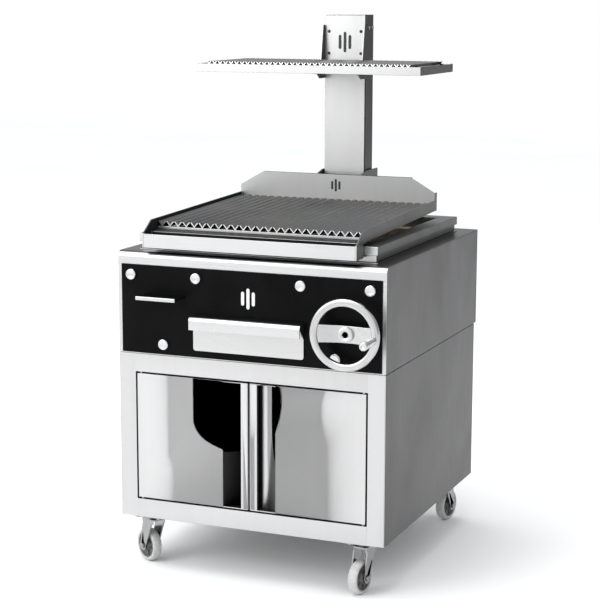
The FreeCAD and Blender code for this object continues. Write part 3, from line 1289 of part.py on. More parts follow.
def caster_plates():
    plates = []
    for name in CASTERS:
        x, y, angle = caster_spot(name)
        plate = caster_plate()
        plate.translate(vec(x, y, 0))
        plates.append(plate)
    return group(plates)


def caster_fork():
    """Crown and two tapered legs, with the axle bolt as its own solid."""
    inner = WHEEL_WIDTH / 2.0 + FORK_GAP
    outer = inner + FORK_PLATE
    half = CROWN_LENGTH / 2.0
    crown = block(-half, half, -outer, outer, CROWN_UNDER, CROWN_TOP)
    corners = [e for e in crown.Edges if abs(e.Vertexes[0].Z - e.Vertexes[-1].Z) > 1.0]
    crown = crown.makeFillet(8.0, corners)
    hollow = block(-half - 1, half + 1, -inner, inner, CROWN_UNDER - 1, CROWN_TOP - FORK_PLATE)
    crown = crown.cut(hollow)
    stem = Part.makeCylinder(STEM_R, STEM_LENGTH, vec(0, 0, CROWN_TOP))
    pieces = [crown, stem]
    for side in (-1, 1):
        y0, y1 = sorted((side * inner, side * outer))
        leg = prism_y([(-half + 8.0, CROWN_UNDER), (half - 8.0, CROWN_UNDER),
                       (CASTER_TRAIL + FORK_END_R, AXLE_Z), (CASTER_TRAIL - FORK_END_R, AXLE_Z)],
                      y0, y1)
        end = rod(FORK_END_R, vec(CASTER_TRAIL, y0, AXLE_Z), vec(CASTER_TRAIL, y1, AXLE_Z))
        pieces.extend([leg, end])
    fork = fused(pieces)
    hole = rod(AXLE_R, vec(CASTER_TRAIL, -outer - 1, AXLE_Z), vec(CASTER_TRAIL, outer + 1, AXLE_Z))
    fork = fork.cut(hole)
    axle = rod(AXLE_R, vec(CASTER_TRAIL, -outer, AXLE_Z), vec(CASTER_TRAIL, outer, AXLE_Z))
    heads = []
    for side in (-1, 1):
        heads.append(rod(AXLE_HEAD_R, vec(CASTER_TRAIL, side * outer, AXLE_Z),
                         vec(CASTER_TRAIL, side * (outer + AXLE_HEAD), AXLE_Z)))
    return group([fork, fused([axle] + heads)])


def caster_wheel():
    """Wheel with a rounded tread, a dished web and a long hub."""
    r = WHEEL_DIAMETER / 2.0
    w = WHEEL_WIDTH / 2.0
    outline = [(AXLE_R + RUN_CLEAR, -w), (r * 0.34, -w), (r * 0.34, -w * 0.45), (r * 0.74, -w * 0.45),
               (r * 0.74, -w * 0.9), (r * 0.94, -w * 0.9), (r, -w * 0.55)]
    full = outline + [(a, -b) for a, b in reversed(outline)]
    wire = Part.makePolygon([vec(a, b, 0) for a, b in full + [full[0]]])
    wheel = Part.Face(wire).revolve(vec(0, 0, 0), vec(0, 1, 0), 360)
    wheel.translate(vec(CASTER_TRAIL, 0, AXLE_Z))
    return wheel


# ---------------------------------------------------------------- write every piece
def both_sides(shape):
    """A right-hand piece and its left-hand twin as one node."""
    return group([shape, mirrored(shape)])


def write_pairs():
    """Pieces that have a twin on the other side."""
    save("lower_sides", both_sides(lower_side()))
    save("upper_sides", both_sides(upper_side()))
    save("drawer_runners", both_sides(drawer_runner()))
    save("rack_brackets", both_sides(rack_bracket()))
    right_door = group(door_skin() + [door_liner()])
    save("door_right", right_door)
    save("door_left", mirrored(right_door))


def write_casters():
    for name in CASTERS:
        save("caster_fork_" + name, place_caster(caster_fork(), name))
        save("caster_wheel_" + name, place_caster(caster_wheel(), name))


def main():
    os.makedirs("parts", exist_ok=True)
    singles = (
        lower_back, lower_floor, door_frame, middle_deck, upper_back, front_sheet, top_deck,
        front_panel, panel_caps, firebox_surround, firebox_shell, brick_lining,
        charcoal_grate, ash_chute, damper_grip, damper_plate, damper_guides, drawer_front, ash_tray,
        column_channel, column_cover, cover_screws, column_cap, column_foot, bracket_bolts,
        rack_frame, rack_channels, grate_frame, grate_channels, drip_trough, backsplash,
        lift_yoke, glide_pads, lift_crossbar, lift_nut, wheel_shaft, shaft_gear, cross_shaft,
        cross_gears, lead_screw, screw_gear, drive_bearings, handwheel, crank_pin, crank_knob,
        caster_plates,
    )
    for make in singles:
        save(make.__name__, make())
    write_pairs()
    write_casters()


main()
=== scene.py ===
import json
import math
import bmesh
import bpy
from mathutils import Matrix, Vector


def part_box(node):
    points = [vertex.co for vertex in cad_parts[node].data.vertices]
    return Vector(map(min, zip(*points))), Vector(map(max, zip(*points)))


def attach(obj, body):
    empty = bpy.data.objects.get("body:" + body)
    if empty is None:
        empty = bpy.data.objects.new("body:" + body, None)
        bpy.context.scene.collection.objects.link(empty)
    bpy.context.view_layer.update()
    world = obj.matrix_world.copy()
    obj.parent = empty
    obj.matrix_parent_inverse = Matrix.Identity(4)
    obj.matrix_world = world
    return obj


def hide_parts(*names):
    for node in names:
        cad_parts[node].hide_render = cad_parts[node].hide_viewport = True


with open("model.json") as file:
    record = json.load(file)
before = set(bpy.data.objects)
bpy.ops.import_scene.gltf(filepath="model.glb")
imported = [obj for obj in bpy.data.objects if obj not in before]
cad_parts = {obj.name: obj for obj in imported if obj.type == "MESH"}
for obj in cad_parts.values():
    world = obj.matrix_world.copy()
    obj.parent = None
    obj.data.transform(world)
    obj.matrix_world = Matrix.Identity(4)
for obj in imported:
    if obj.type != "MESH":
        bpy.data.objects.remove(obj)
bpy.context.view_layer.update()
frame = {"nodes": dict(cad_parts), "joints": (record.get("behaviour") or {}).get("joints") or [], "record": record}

BODY_OF = {node: body for body, nodes in frame["record"]["behaviour"]["bodies"].items()
           for node in nodes}


# ------------------------------------------------------------------ finishes
class Finish:
    """A surface finish: the shader, and short calls for the nodes that drive it."""

    def __init__(self, name, metallic=0.0, **fixed):
        self.material = bpy.data.materials.new(name)
        self.material.use_nodes = True
        self.tree = self.material.node_tree
        self.shader = self.tree.nodes["Principled BSDF"]
        self.shader.inputs["Metallic"].default_value = metallic
        for socket, value in fixed.items():
            self.shader.inputs[socket.replace("_", " ")].default_value = value

    def add(self, kind, *sources, **settings):
        node = self.tree.nodes.new(kind)
        for key, value in settings.items():
            setattr(node, key, value)
        for socket, value in enumerate(sources):
            self.feed(value, node.inputs[socket])
        return node

    def feed(self, value, socket):
        if isinstance(value, bpy.types.NodeSocket):
            self.tree.links.new(value, socket)
        elif value is not None:
            socket.default_value = value

    def place(self, stretch=(1, 1, 1), turn=(0, 0, 0)):
        """Object coordinates, stretched so that a pattern gets its own scale per axis."""
        where = self.add("ShaderNodeTexCoord").outputs["Object"]
        return self.add("ShaderNodeMapping", where, None, turn, stretch).outputs[0]

    def noise(self, where, scale, detail=3.0, rough=0.5, distort=0.0):
        node = self.add("ShaderNodeTexNoise")
        self.feed(where, node.inputs["Vector"])
        node.inputs["Scale"].default_value = scale
        node.inputs["Detail"].default_value = detail
        node.inputs["Roughness"].default_value = rough
        node.inputs["Distortion"].default_value = distort
        return node.outputs["Fac"]

    def cells(self, where, scale, feature="F1"):
        node = self.add("ShaderNodeTexVoronoi", feature=feature)
        self.feed(where, node.inputs["Vector"])
        node.inputs["Scale"].default_value = scale
        return node.outputs["Distance"]

    def spread(self, value, low, high, out_low=0.0, out_high=1.0):
        node = self.add("ShaderNodeMapRange", value, low, high, out_low, out_high)
        return node.outputs[0]

    def sums(self, first, second, operation="ADD"):
        return self.add("ShaderNodeMath", first, second, operation=operation).outputs[0]

    def blend(self, share, first, second, how="MIX"):
        node = self.add("ShaderNodeMix", data_type="RGBA", blend_type=how)
        self.feed(share, node.inputs[0])
        self.feed(first, node.inputs[6])
        self.feed(second, node.inputs[7])
        return node.outputs[2]

    def surface(self, colour, roughness):
        self.feed(colour, self.shader.inputs["Base Color"])
        self.feed(roughness, self.shader.inputs["Roughness"])

    def relief(self, height, strength, depth, under=None):
        node = self.add("ShaderNodeBump")
        node.inputs["Strength"].default_value = strength
        node.inputs["Distance"].default_value = depth
        self.feed(height, node.inputs["Height"])
        self.feed(under, node.inputs["Normal"])
        self.feed(node.outputs[0], self.shader.inputs["Normal"])
        return node.outputs[0]


def tint(value, warm=0.0):
    return (value * (1 + warm), value, value * (1 - warm), 1)


def brushed_steel(name, grain, level, rough, metallic=1.0, warm=0.006):
    """Sheet with fine grain along one axis, faint wiping marks and edge polish."""
    f = Finish(name, metallic)
    fine = [700.0, 700.0, 700.0]
    fine["xyz".index(grain)] = 7.0
    lines = f.noise(f.place(fine), 1.0, 3.0, 0.6)
    wide = [60.0, 60.0, 60.0]
    wide["xyz".index(grain)] = 1.2
    bands = f.noise(f.place(wide), 1.0, 2.0, 0.5)
    wipes = f.noise(f.place((3.0, 3.0, 2.0), (0.3, 0.2, 0.5)), 1.6, 5.0, 0.55, 0.8)
    edge = f.add("ShaderNodeNewGeometry").outputs["Pointiness"]
    shade = f.blend(f.spread(lines, 0.3, 0.7), tint(level * 0.93, warm), tint(level, warm))
    shade = f.blend(f.spread(bands, 0.3, 0.7, 0.0, 0.5), shade, tint(level * 1.04, warm))
    shade = f.blend(f.spread(wipes, 0.45, 0.75, 0.0, 0.35), shade, tint(level * 0.90, warm))
    shade = f.blend(f.spread(edge, 0.52, 0.60, 0.0, 0.5), shade, tint(min(level * 1.2, 0.95)))
    tone = f.sums(f.spread(lines, 0.25, 0.75, rough - 0.05, rough + 0.06),
                  f.spread(wipes, 0.3, 0.7, -0.03, 0.05))
    f.surface(shade, tone)
    f.relief(lines, 0.06, 0.0003)
    return f.material


def spun_steel(name, level, rough):
    """Turned face: fine rings that follow the lathe positions kept on the mesh."""
    f = Finish(name, 1.0)
    where = f.add("ShaderNodeAttribute", attribute_name="lathe").outputs["Vector"]
    rings = f.noise(f.add("ShaderNodeMapping", where, None, None, (1.0, 900.0, 1.0)).outputs[0],
                    1.0, 3.0, 0.6)
    wipes = f.noise(f.place(), 30.0, 4.0)
    f.surface(f.blend(f.spread(rings, 0.3, 0.7), tint(level * 0.86), tint(level)),
              f.sums(f.spread(rings, 0.3, 0.7, rough - 0.04, rough + 0.05),
                     f.spread(wipes, 0.3, 0.7, -0.03, 0.05)))
    f.relief(rings, 0.10, 0.0002)
    return f.material


def cast_polish(name, level, rough, metallic=1.0):
    """Polished casting: soft unevenness, tiny pits, brighter edges."""
    f = Finish(name, metallic)
    swell = f.noise(f.place(), 45.0, 3.0)
    pits = f.cells(f.place(), 900.0)
    film = f.noise(f.place(), 14.0, 5.0, 0.6, 0.5)
    edge = f.add("ShaderNodeNewGeometry").outputs["Pointiness"]
    shade = f.blend(f.spread(film, 0.35, 0.7), tint(level), tint(level * 0.86, 0.01))
    shade = f.blend(f.spread(edge, 0.50, 0.58, 0.0, 0.5), shade, tint(min(1.15 * level, 0.95)))
    f.surface(shade, f.spread(film, 0.3, 0.7, rough - 0.04, rough + 0.08))
    low = f.relief(swell, 0.06, 0.001)
    f.relief(f.spread(pits, 0.0, 0.25), 0.10, 0.0002, low)
    return f.material


def black_enamel(name):
    f = Finish(name, 0.0, Specular_IOR_Level=0.05)
    peel = f.noise(f.place(), 700.0, 2.0)
    cloud = f.noise(f.place((1.0, 1.0, 0.6)), 7.0, 5.0, 0.6, 0.6)
    dust = f.cells(f.place(), 260.0)
    colour = f.blend(f.spread(cloud, 0.3, 0.7), (0.0016, 0.0016, 0.0018, 1),
                     (0.004, 0.004, 0.0045, 1))
    colour = f.blend(f.spread(dust, 0.05, 0.02, 0.0, 0.30), colour, (0.03, 0.03, 0.03, 1))
    f.surface(colour, f.spread(cloud, 0.3, 0.7, 0.26, 0.38))
    f.relief(peel, 0.05, 0.0003)
    return f.material


def iron(name, level, rust, rough):
    """Rough casting or blackened part, with a trace of rust and scale."""
    f = Finish(name, 0.6)
    grit = f.noise(f.place(), 480.0, 4.0, 0.65)
    patch = f.noise(f.place(), 26.0, 5.0, 0.6, 0.6)
    colour = f.blend(f.spread(grit, 0.3, 0.7), tint(level * 0.6), tint(level))
    colour = f.blend(f.spread(patch, 0.55, 0.75, 0.0, rust), colour, (0.16, 0.07, 0.035, 1))
    f.surface(colour, f.spread(grit, 0.3, 0.7, rough - 0.08, rough + 0.10))
    f.relief(grit, 0.35, 0.0006)
    return f.material


def firebrick(name):
    f = Finish(name)
    grain = f.noise(f.place(), 220.0, 5.0, 0.7)
    pits = f.cells(f.place(), 160.0)
    soot = f.noise(f.place((1, 1, 0.5)), 9.0, 5.0, 0.6, 0.8)
    speck = f.cells(f.place((1.0, 1.2, 0.9)), 70.0)
    colour = f.blend(f.spread(grain, 0.3, 0.7), (0.52, 0.40, 0.26, 1), (0.72, 0.60, 0.43, 1))
    colour = f.blend(f.spread(speck, 0.12, 0.06, 0.0, 0.7), colour, (0.30, 0.18, 0.10, 1))
    colour = f.blend(f.spread(soot, 0.42, 0.62, 0.0, 0.75), colour, (0.05, 0.045, 0.04, 1))
    f.surface(colour, f.spread(grain, 0.3, 0.7, 0.82, 0.97))
    low = f.relief(grain, 0.5, 0.0012)
    f.relief(f.spread(pits, 0.0, 0.18), 0.5, 0.0012, low)
    return f.material


def moulded(name, low, high, rough, speckle=0.0):
    """Moulded plastic or rubber: fine skin texture, scuffs and dust."""
    f = Finish(name, 0.0, Specular_IOR_Level=0.4)
    skin = f.noise(f.place(), 1400.0, 2.0)
    scuff = f.noise(f.place((1.0, 1.0, 2.5)), 60.0, 5.0, 0.65, 1.0)
    colour = f.blend(f.spread(scuff, 0.35, 0.7), low, high)
    colour = f.blend(f.spread(skin, 0.62, 0.75, 0.0, speckle), colour, (0.12, 0.11, 0.10, 1))
    f.surface(colour, f.spread(scuff, 0.3, 0.7, rough - 0.06, rough + 0.12))
    f.relief(skin, 0.10, 0.0003)
    return f.material


def heat_steel(name, level):
    """Grate steel, straw to brown where the heat reaches it, each channel with a tone of its own."""
    f = Finish(name, 1.0)
    lines = f.noise(f.place((500.0, 10.0, 500.0)), 1.0, 3.0, 0.6)
    heat = f.noise(f.place((1.0, 1.0, 1.0)), 5.0, 4.0, 0.55, 0.6)
    own = f.add("ShaderNodeAttribute", attribute_name="own_tone").outputs["Fac"]
    colour = f.blend(f.spread(lines, 0.3, 0.7), tint(level * 0.92), tint(level))
    colour = f.blend(f.spread(heat, 0.50, 0.78, 0.0, 0.30), colour, (0.52, 0.44, 0.33, 1))
    colour = f.blend(f.spread(own, 0.0, 1.0, 0.0, 0.15), colour, tint(level * 0.75, 0.02))
    f.surface(colour, f.spread(lines, 0.3, 0.7, 0.26, 0.40))
    f.relief(lines, 0.06, 0.0003)
    return f.material


FINISH = {
    "front sheet": brushed_steel("front sheet, upright grain", "z", 0.49, 0.36),
    "door sheet": brushed_steel("door sheet, upright grain", "z", 0.52, 0.34),
    "column sheet": brushed_steel("column sheet, upright grain", "z", 0.40, 0.36),
    # Painted shade: the splash sheet is a darker copy of the front steel.
    "painted shade splash sheet": brushed_steel("painted shade splash sheet, upright grain", "z", 0.33, 0.36),
    # Painted shade: the shaded sheet is a darker copy of the steel for the column pieces' side faces.
    "shaded sheet": brushed_steel("column painted shade side sheet, upright grain", "z", 0.052, 0.38),
    # Painted shade: a near-black sheet for faces that lie out of the light.
    "painted black shade": iron("painted shade sheet, out of the light", 0.012, 0.0, 0.60),
    # Painted shade: the side and top sheets are darker copies of the steel, for faces turned sideways and for
    # level faces.
    "painted shade side sheet": brushed_steel("painted shade side sheet, upright grain", "z", 0.108, 0.40),
    "painted shade top sheet": brushed_steel("painted shade top sheet, cross grain", "x", 0.075, 0.34),
    "long sheet": brushed_steel("long sheet, cross grain", "x", 0.52, 0.30),
    # Painted shade: the recess sheet is a darker copy of the door steel for the left door's grip slope.
    "painted shade recess sheet": brushed_steel("painted shade recess sheet, upright grain", "z", 0.052, 0.34),
    "inner sheet": brushed_steel("inner sheet, mill finish", "x", 0.24, 0.42),
    # Painted highlight: ridge is a much lighter copy of the grate steel for the front-facing cut ends; dull grate
    # is a darker copy, painted shade on the walls facing left.
    "ridge": heat_steel("grate steel, ridge ends", 0.85),
    "grate": heat_steel("grate steel, heat toned", 0.23),
    "painted shade grate": heat_steel("grate steel, painted shade", 0.17),
    "caps": spun_steel("spun cap steel", 0.62, 0.22),
    "enamel": black_enamel("black enamel"),
    "iron": iron("cast iron, heat scaled", 0.055, 0.35, 0.62),
    "bearing iron": iron("bearing iron, oiled", 0.11, 0.10, 0.42),
    "dark screw": iron("blackened screw heads", 0.06, 0.0, 0.36),
    "mark": moulded("dark inlay enamel", (0.006, 0.006, 0.006, 1), (0.010, 0.010, 0.011, 1),
                    0.30),
    "pale mark": moulded("pale inlay enamel", (0.62, 0.62, 0.61, 1), (0.70, 0.70, 0.69, 1),
                         0.30),
    "brick": firebrick("firebrick, sooted"),
    "oiled steel": cast_polish("machined steel, oiled", 0.24, 0.28),
    "bolt steel": cast_polish("bolt steel", 0.30, 0.30),
    "weld": cast_polish("weld bead", 0.45, 0.36),
    "bronze": cast_polish("nut bronze", 0.50, 0.30),
    "wheel casting": cast_polish("handwheel casting, polished", 0.52, 0.22),
    "grip": cast_polish("grip steel, polished", 0.56, 0.16),
    "zinc": cast_polish("fork zinc plate", 0.34, 0.20),
    "pad": moulded("glide pad plastic", (0.72, 0.70, 0.64, 1), (0.80, 0.78, 0.72, 1), 0.40),
    "tread": moulded("caster tread, grey", (0.40, 0.40, 0.39, 1), (0.52, 0.52, 0.51, 1),
                     0.40, 0.20),
    "core": moulded("caster core, dark grey", (0.075, 0.075, 0.078, 1), (0.12, 0.12, 0.12, 1),
                    0.34, 0.15),
}
BRONZE_LIGHT = (0.60, 0.40, 0.16, 1)
BRONZE_DARK = (0.50, 0.31, 0.11, 1)
for node in FINISH["bronze"].node_tree.nodes:
    if node.bl_idname == "ShaderNodeMix" and not node.inputs[6].is_linked:
        node.inputs[6].default_value = BRONZE_LIGHT
        node.inputs[7].default_value = BRONZE_DARK


# ------------------------------------------------------------------ mesh helpers
def plain(obj):
    """The evaluated shape of an object as a mesh of its own."""
    graph = bpy.context.evaluated_depsgraph_get()
    return bpy.data.meshes.new_from_object(obj.evaluated_get(graph))


def make(name, bm, finish):
    mesh = bpy.data.meshes.new(name)
    bm.to_mesh(mesh)
    bm.free()
    mesh.materials.append(FINISH[finish])
    obj = bpy.data.objects.new(name, mesh)
    bpy.context.scene.collection.objects.link(obj)
    return obj


def set_shape(obj):
    """Make the shape that the modifiers give the piece's own mesh."""
    mesh = plain(obj)
    obj.modifiers.clear()
    obj.data = mesh
    return obj


def smooth(obj):
    for polygon in obj.data.polygons:
        polygon.use_smooth = True
    return obj


def settle(obj, body, slot, *nodes):
    """Turn the piece into its final mesh, then ride it on its body for those CAD nodes."""
    if obj.modifiers:
        set_shape(obj)
    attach(obj, body)
    if nodes:
        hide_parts(*nodes)
    return obj


def soft_edges(obj, width, segments=2, angle=32):
    smooth(obj)
    bevel = obj.modifiers.new("rounded edges", "BEVEL")
    bevel.width = width
    bevel.segments = segments
    bevel.limit_method = "ANGLE"
    bevel.angle_limit = math.radians(angle)
    bevel.use_clamp_overlap = True
    normal = obj.modifiers.new("flat faces", "WEIGHTED_NORMAL")
    normal.weight = 60
    normal.keep_sharp = True
    return obj


def dress(mesh, front, side, top):
    """Give front, side and level faces their own finish and grain; the side and level finishes are darker copies
    of the steel, painted shade.
    """
    for finish in (front, side, top):
        mesh.materials.append(FINISH[finish])
    for polygon in mesh.polygons:
        n = polygon.normal
        polygon.material_index = 1 if abs(n.x) > 0.75 else 2 if abs(n.z) > 0.75 else 0


def cad_copy(node, finish):
    """A merged copy of a CAD node's mesh with whole faces in place of triangles."""
    bm = bmesh.new()
    bm.from_mesh(frame["nodes"][node].data)
    bmesh.ops.remove_doubles(bm, verts=bm.verts, dist=0.00001)
    bmesh.ops.dissolve_limit(bm, angle_limit=math.radians(0.6), verts=bm.verts, edges=bm.edges)
    return make(node + "_piece", bm, finish)


def soften(node, finish, width, segments=2, angle=32):
    """Give a CAD node's own shape the rounded edges of folded or cast work."""
    slot = next(s["material_slot"] for s in frame["record"]["subparts"] if s["node"] == node)
    obj = soft_edges(cad_copy(node, finish), width / 1000.0, segments, angle)
    return settle(obj, BODY_OF[node], slot, node)


def sheet_work(node, front, width, segments=2, side="painted shade side sheet", top="painted shade top sheet"):
    """A folded sheet piece, dressed face by face, with painted shade on its side and level faces."""
    obj = soften(node, front, width, segments)
    obj.data.materials.clear()
    dress(obj.data, front, side, top)
    return obj


def paint(node, finish):
    """Keep a CAD node and give it a better finish."""
    mesh = frame["nodes"][node].data
    obj = frame["nodes"][node]
    if not obj.material_slots:
        mesh.materials.append(FINISH[finish])
    for place in obj.material_slots:
        place.material = FINISH[finish]


def lathe(bm, profile, origin, axis, steps=64):
    """Turn (radius, distance) points about an axis, with ring positions kept for the finish."""
    axis = Vector(axis).normalized()
    across = axis.orthogonal().normalized()
    other = axis.cross(across)
    origin = Vector(origin)
    layers = bm.verts.layers.float_vector
    layer = layers.get("lathe") or layers.new("lathe")
    rings = []
    for radius, along in profile:
        if radius < 1e-7:
            vert = bm.verts.new(origin + axis * along)
            vert[layer] = (0.0, 0.0, 0.0)
            rings.append([vert])
            continue
        ring = []
        for i in range(steps):
            a = 2 * math.pi * i / steps
            spot = origin + axis * along + (across * math.cos(a) + other * math.sin(a)) * radius
            vert = bm.verts.new(spot)
            vert[layer] = (0.0, radius, along)
            ring.append(vert)
        rings.append(ring)
    for first, second in zip(rings, rings[1:]):
        for i in range(steps):
            j = (i + 1) % steps
            corners = [first[i % len(first)], first[j % len(first)],
                       second[j % len(second)], second[i % len(second)]]
            unique = list(dict.fromkeys(corners))
            if len(unique) > 2:
                bm.faces.new(unique)
    return bm


def outward(bm, dist=0.000001):
    bmesh.ops.remove_doubles(bm, verts=bm.verts, dist=dist)
    bmesh.ops.recalc_face_normals(bm, faces=bm.faces)
    return bm


def arc(cx, cy, radius, start, end, steps):
    """Points of an arc as (radius, distance) pairs, angles in degrees."""
    out = []
    for i in range(steps + 1):
        a = math.radians(start + (end - start) * i / steps)
        out.append((cx + radius * math.cos(a), cy + radius * math.sin(a)))
    return out


BLOCK_FACES = ((0, 1, 3, 2), (4, 6, 7, 5), (0, 4, 5, 1), (2, 3, 7, 6), (0, 2, 6, 4), (1, 5, 7, 3))


def extrude_outline(bm, outline, run):
    """Closed outline of 3-D points pushed along a vector, with both ends closed."""
    first = [bm.verts.new(p) for p in outline]
    second = [bm.verts.new(Vector(p) + Vector(run)) for p in outline]
    count = len(outline)
    for i in range(count):
        j = (i + 1) % count
        bm.faces.new((first[i], first[j], second[j], second[i]))
    bm.faces.new(list(reversed(first)))
    bm.faces.new(second)


# ------------------------------------------------------------------ node trees
def new_tree(name, sockets):
    tree = bpy.data.node_groups.new(name, "GeometryNodeTree")
    tree.interface.new_socket("Geometry", in_out="INPUT", socket_type="NodeSocketGeometry")
    for label, kind in sockets:
        tree.interface.new_socket(label, in_out="INPUT", socket_type="NodeSocket" + kind)
    tree.interface.new_socket("Geometry", in_out="OUTPUT", socket_type="NodeSocketGeometry")
    return tree, tree.nodes.new("NodeGroupInput"), tree.nodes.new("NodeGroupOutput")


def end_tree(tree, made, source, out):
    """Realize the repeats, give them their finish and hand them on."""
    real = tree.nodes.new("GeometryNodeRealizeInstances")
    coat = tree.nodes.new("GeometryNodeSetMaterial")
    tree.links.new(made, real.inputs[0])
    tree.links.new(real.outputs[0], coat.inputs["Geometry"])
    tree.links.new(source.outputs["Finish"], coat.inputs["Material"])
    tree.links.new(coat.outputs[0], out.inputs[0])


def row_tree():
    """Repeats the piece in a straight row, each with a tone of its own."""
    tree, source, out = new_tree("straight row", [
        ("Count", "Int"), ("First", "Vector"), ("Step", "Vector"), ("Seed", "Int"),
        ("Finish", "Material")])
    line = tree.nodes.new("GeometryNodeMeshLine")
    line.mode = "OFFSET"
    put = tree.nodes.new("GeometryNodeInstanceOnPoints")
    chance = tree.nodes.new("FunctionNodeRandomValue")
    chance.data_type = "FLOAT"
    keep = tree.nodes.new("GeometryNodeStoreNamedAttribute")
    keep.data_type = "FLOAT"
    keep.domain = "INSTANCE"
    keep.inputs["Name"].default_value = "own_tone"
    tree.links.new(source.outputs["Count"], line.inputs["Count"])
    tree.links.new(source.outputs["First"], line.inputs["Start Location"])
    tree.links.new(source.outputs["Step"], line.inputs["Offset"])
    tree.links.new(source.outputs["Seed"], chance.inputs["Seed"])
    tree.links.new(line.outputs[0], put.inputs["Points"])
    tree.links.new(source.outputs["Geometry"], put.inputs["Instance"])
    tree.links.new(put.outputs[0], keep.inputs["Geometry"])
    tree.links.new(chance.outputs[1], keep.inputs["Value"])
    end_tree(tree, keep.outputs[0], source, out)
    return tree


def bead_tree():
    """Lays overlapping weld beads along the edges of the piece."""
    tree, source, out = new_tree("weld seam", [
        ("Pitch", "Float"), ("Width", "Float"), ("Seed", "Int"), ("Finish", "Material")])
    path = tree.nodes.new("GeometryNodeMeshToCurve")
    steps = tree.nodes.new("GeometryNodeResampleCurve")
    steps.mode = "LENGTH"
    drop = tree.nodes.new("GeometryNodeMeshIcoSphere")
    drop.inputs["Subdivisions"].default_value = 2
    size = tree.nodes.new("FunctionNodeRandomValue")
    size.data_type = "FLOAT"
    size.inputs[2].default_value = 0.85
    size.inputs[3].default_value = 1.15
    put = tree.nodes.new("GeometryNodeInstanceOnPoints")
    tree.links.new(source.outputs["Geometry"], path.inputs["Mesh"])
    tree.links.new(path.outputs[0], steps.inputs["Curve"])
    tree.links.new(source.outputs["Pitch"], steps.inputs["Length"])
    tree.links.new(source.outputs["Width"], drop.inputs["Radius"])
    tree.links.new(source.outputs["Seed"], size.inputs["Seed"])
    tree.links.new(steps.outputs[0], put.inputs["Points"])
    tree.links.new(drop.outputs[0], put.inputs["Instance"])
    tree.links.new(size.outputs[1], put.inputs["Scale"])
    end_tree(tree, put.outputs[0], source, out)
    return tree


def ring_tree():
    """Repeats the piece round an axis through a centre."""
    tree, source, out = new_tree("round row", [
        ("Count", "Int"), ("Centre", "Vector"), ("Axis", "Vector"), ("Finish", "Material")])
    line = tree.nodes.new("GeometryNodeMeshLine")
    put = tree.nodes.new("GeometryNodeInstanceOnPoints")
    number = tree.nodes.new("GeometryNodeInputIndex")
    share = tree.nodes.new("ShaderNodeMath")
    share.operation = "DIVIDE"
    angle = tree.nodes.new("ShaderNodeMath")
    angle.operation = "MULTIPLY"
    angle.inputs[1].default_value = 2 * math.pi
    turn = tree.nodes.new("FunctionNodeAxisAngleToRotation")
    move = tree.nodes.new("GeometryNodeTransform")
    tree.links.new(source.outputs["Count"], line.inputs["Count"])
    line.inputs["Offset"].default_value = (0, 0, 0)
    tree.links.new(line.outputs[0], put.inputs["Points"])
    tree.links.new(source.outputs["Geometry"], put.inputs["Instance"])
    tree.links.new(number.outputs[0], share.inputs[0])
    tree.links.new(source.outputs["Count"], share.inputs[1])
    tree.links.new(share.outputs[0], angle.inputs[0])
    tree.links.new(source.outputs["Axis"], turn.inputs["Axis"])
    tree.links.new(angle.outputs[0], turn.inputs["Angle"])
    tree.links.new(turn.outputs[0], put.inputs["Rotation"])
    tree.links.new(put.outputs[0], move.inputs["Geometry"])
    tree.links.new(source.outputs["Centre"], move.inputs["Translation"])
    end_tree(tree, move.outputs[0], source, out)
    return tree


TREES = {"row": row_tree(), "bead": bead_tree(), "ring": ring_tree()}


def grow(obj, tree, **values):
    """Run a node tree on a piece and keep the result as its mesh."""
    modifier = obj.modifiers.new(tree, "NODES")
    modifier.node_group = TREES[tree]
    for item in TREES[tree].interface.items_tree:
        if item.in_out == "INPUT" and item.name in values:
            modifier[item.identifier] = values[item.name]
    return set_shape(obj)


def joined(name, objects):
    """Several meshes as one piece."""
    bm = bmesh.new()
    for obj in objects:
        bm.from_mesh(obj.data)
    mesh = bpy.data.meshes.new(name)
    bm.to_mesh(mesh)
    bm.free()
    for material in objects[0].data.materials:
        mesh.materials.append(material)
    for obj in objects:
        bpy.data.objects.remove(obj)
    whole = bpy.data.objects.new(name, mesh)
    bpy.context.scene.collection.objects.link(whole)
    return whole


def row_of(name, bm, finish, count, first, step, seed=1):
    obj = smooth(make(name, bm, finish))
    return grow(obj, "row", Count=count, First=first, Step=step, Seed=seed,
                Finish=FINISH[finish])


def weld(name, path, body, slot, width=0.0016, seed=3):
    """A weld seam along a path of points."""
    bm = bmesh.new()
    verts = [bm.verts.new(p) for p in path]
    for first, second in zip(verts, verts[1:]):
        bm.edges.new((first, second))
    obj = make(name, bm, "weld")
    obj = grow(obj, "bead", Pitch=width * 1.3, Width=width, Seed=seed, Finish=FINISH["weld"])
    return settle(smooth(obj), body, slot)


# ------------------------------------------------------------------ cabinet
def refinish(obj, finish, chosen):
    """Another finish on the faces of a piece that a test picks."""
    obj.data.materials.append(FINISH[finish])
    last = len(obj.data.materials) - 1
    for polygon in obj.data.polygons:
        if chosen(polygon.normal, polygon.center):
            polygon.material_index = last


def cabinet_sheets():
    for node in ("lower_sides", "upper_sides", "lower_back", "upper_back", "front_sheet"):
        sheet_work(node, "front sheet", 0.6)
    surround = sheet_work("door_frame", "front sheet", 0.6)
    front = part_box("door_frame")[0].y
    # Painted shade: the faces inside the door opening get the near-black sheet.
    refinish(surround, "painted black shade", lambda n, c: c.y > front + 0.0008 and abs(n.y) < 0.5)
    sheet_work("top_deck", "long sheet", 0.6)
    soften("front_panel", "enamel", 0.9)
    for node in ("column_channel", "column_cover", "column_cap", "rack_brackets"):
        # Painted shade on the side faces of the column pieces.
        sheet_work(node, "column sheet", 0.7, side="shaded sheet")
    for node in ("column_foot", "drawer_runners", "ash_chute", "firebox_shell",
                 "damper_guides"):
        soften(node, "inner sheet", 0.5)
    paint("middle_deck", "inner sheet")
    paint("lower_floor", "inner sheet")


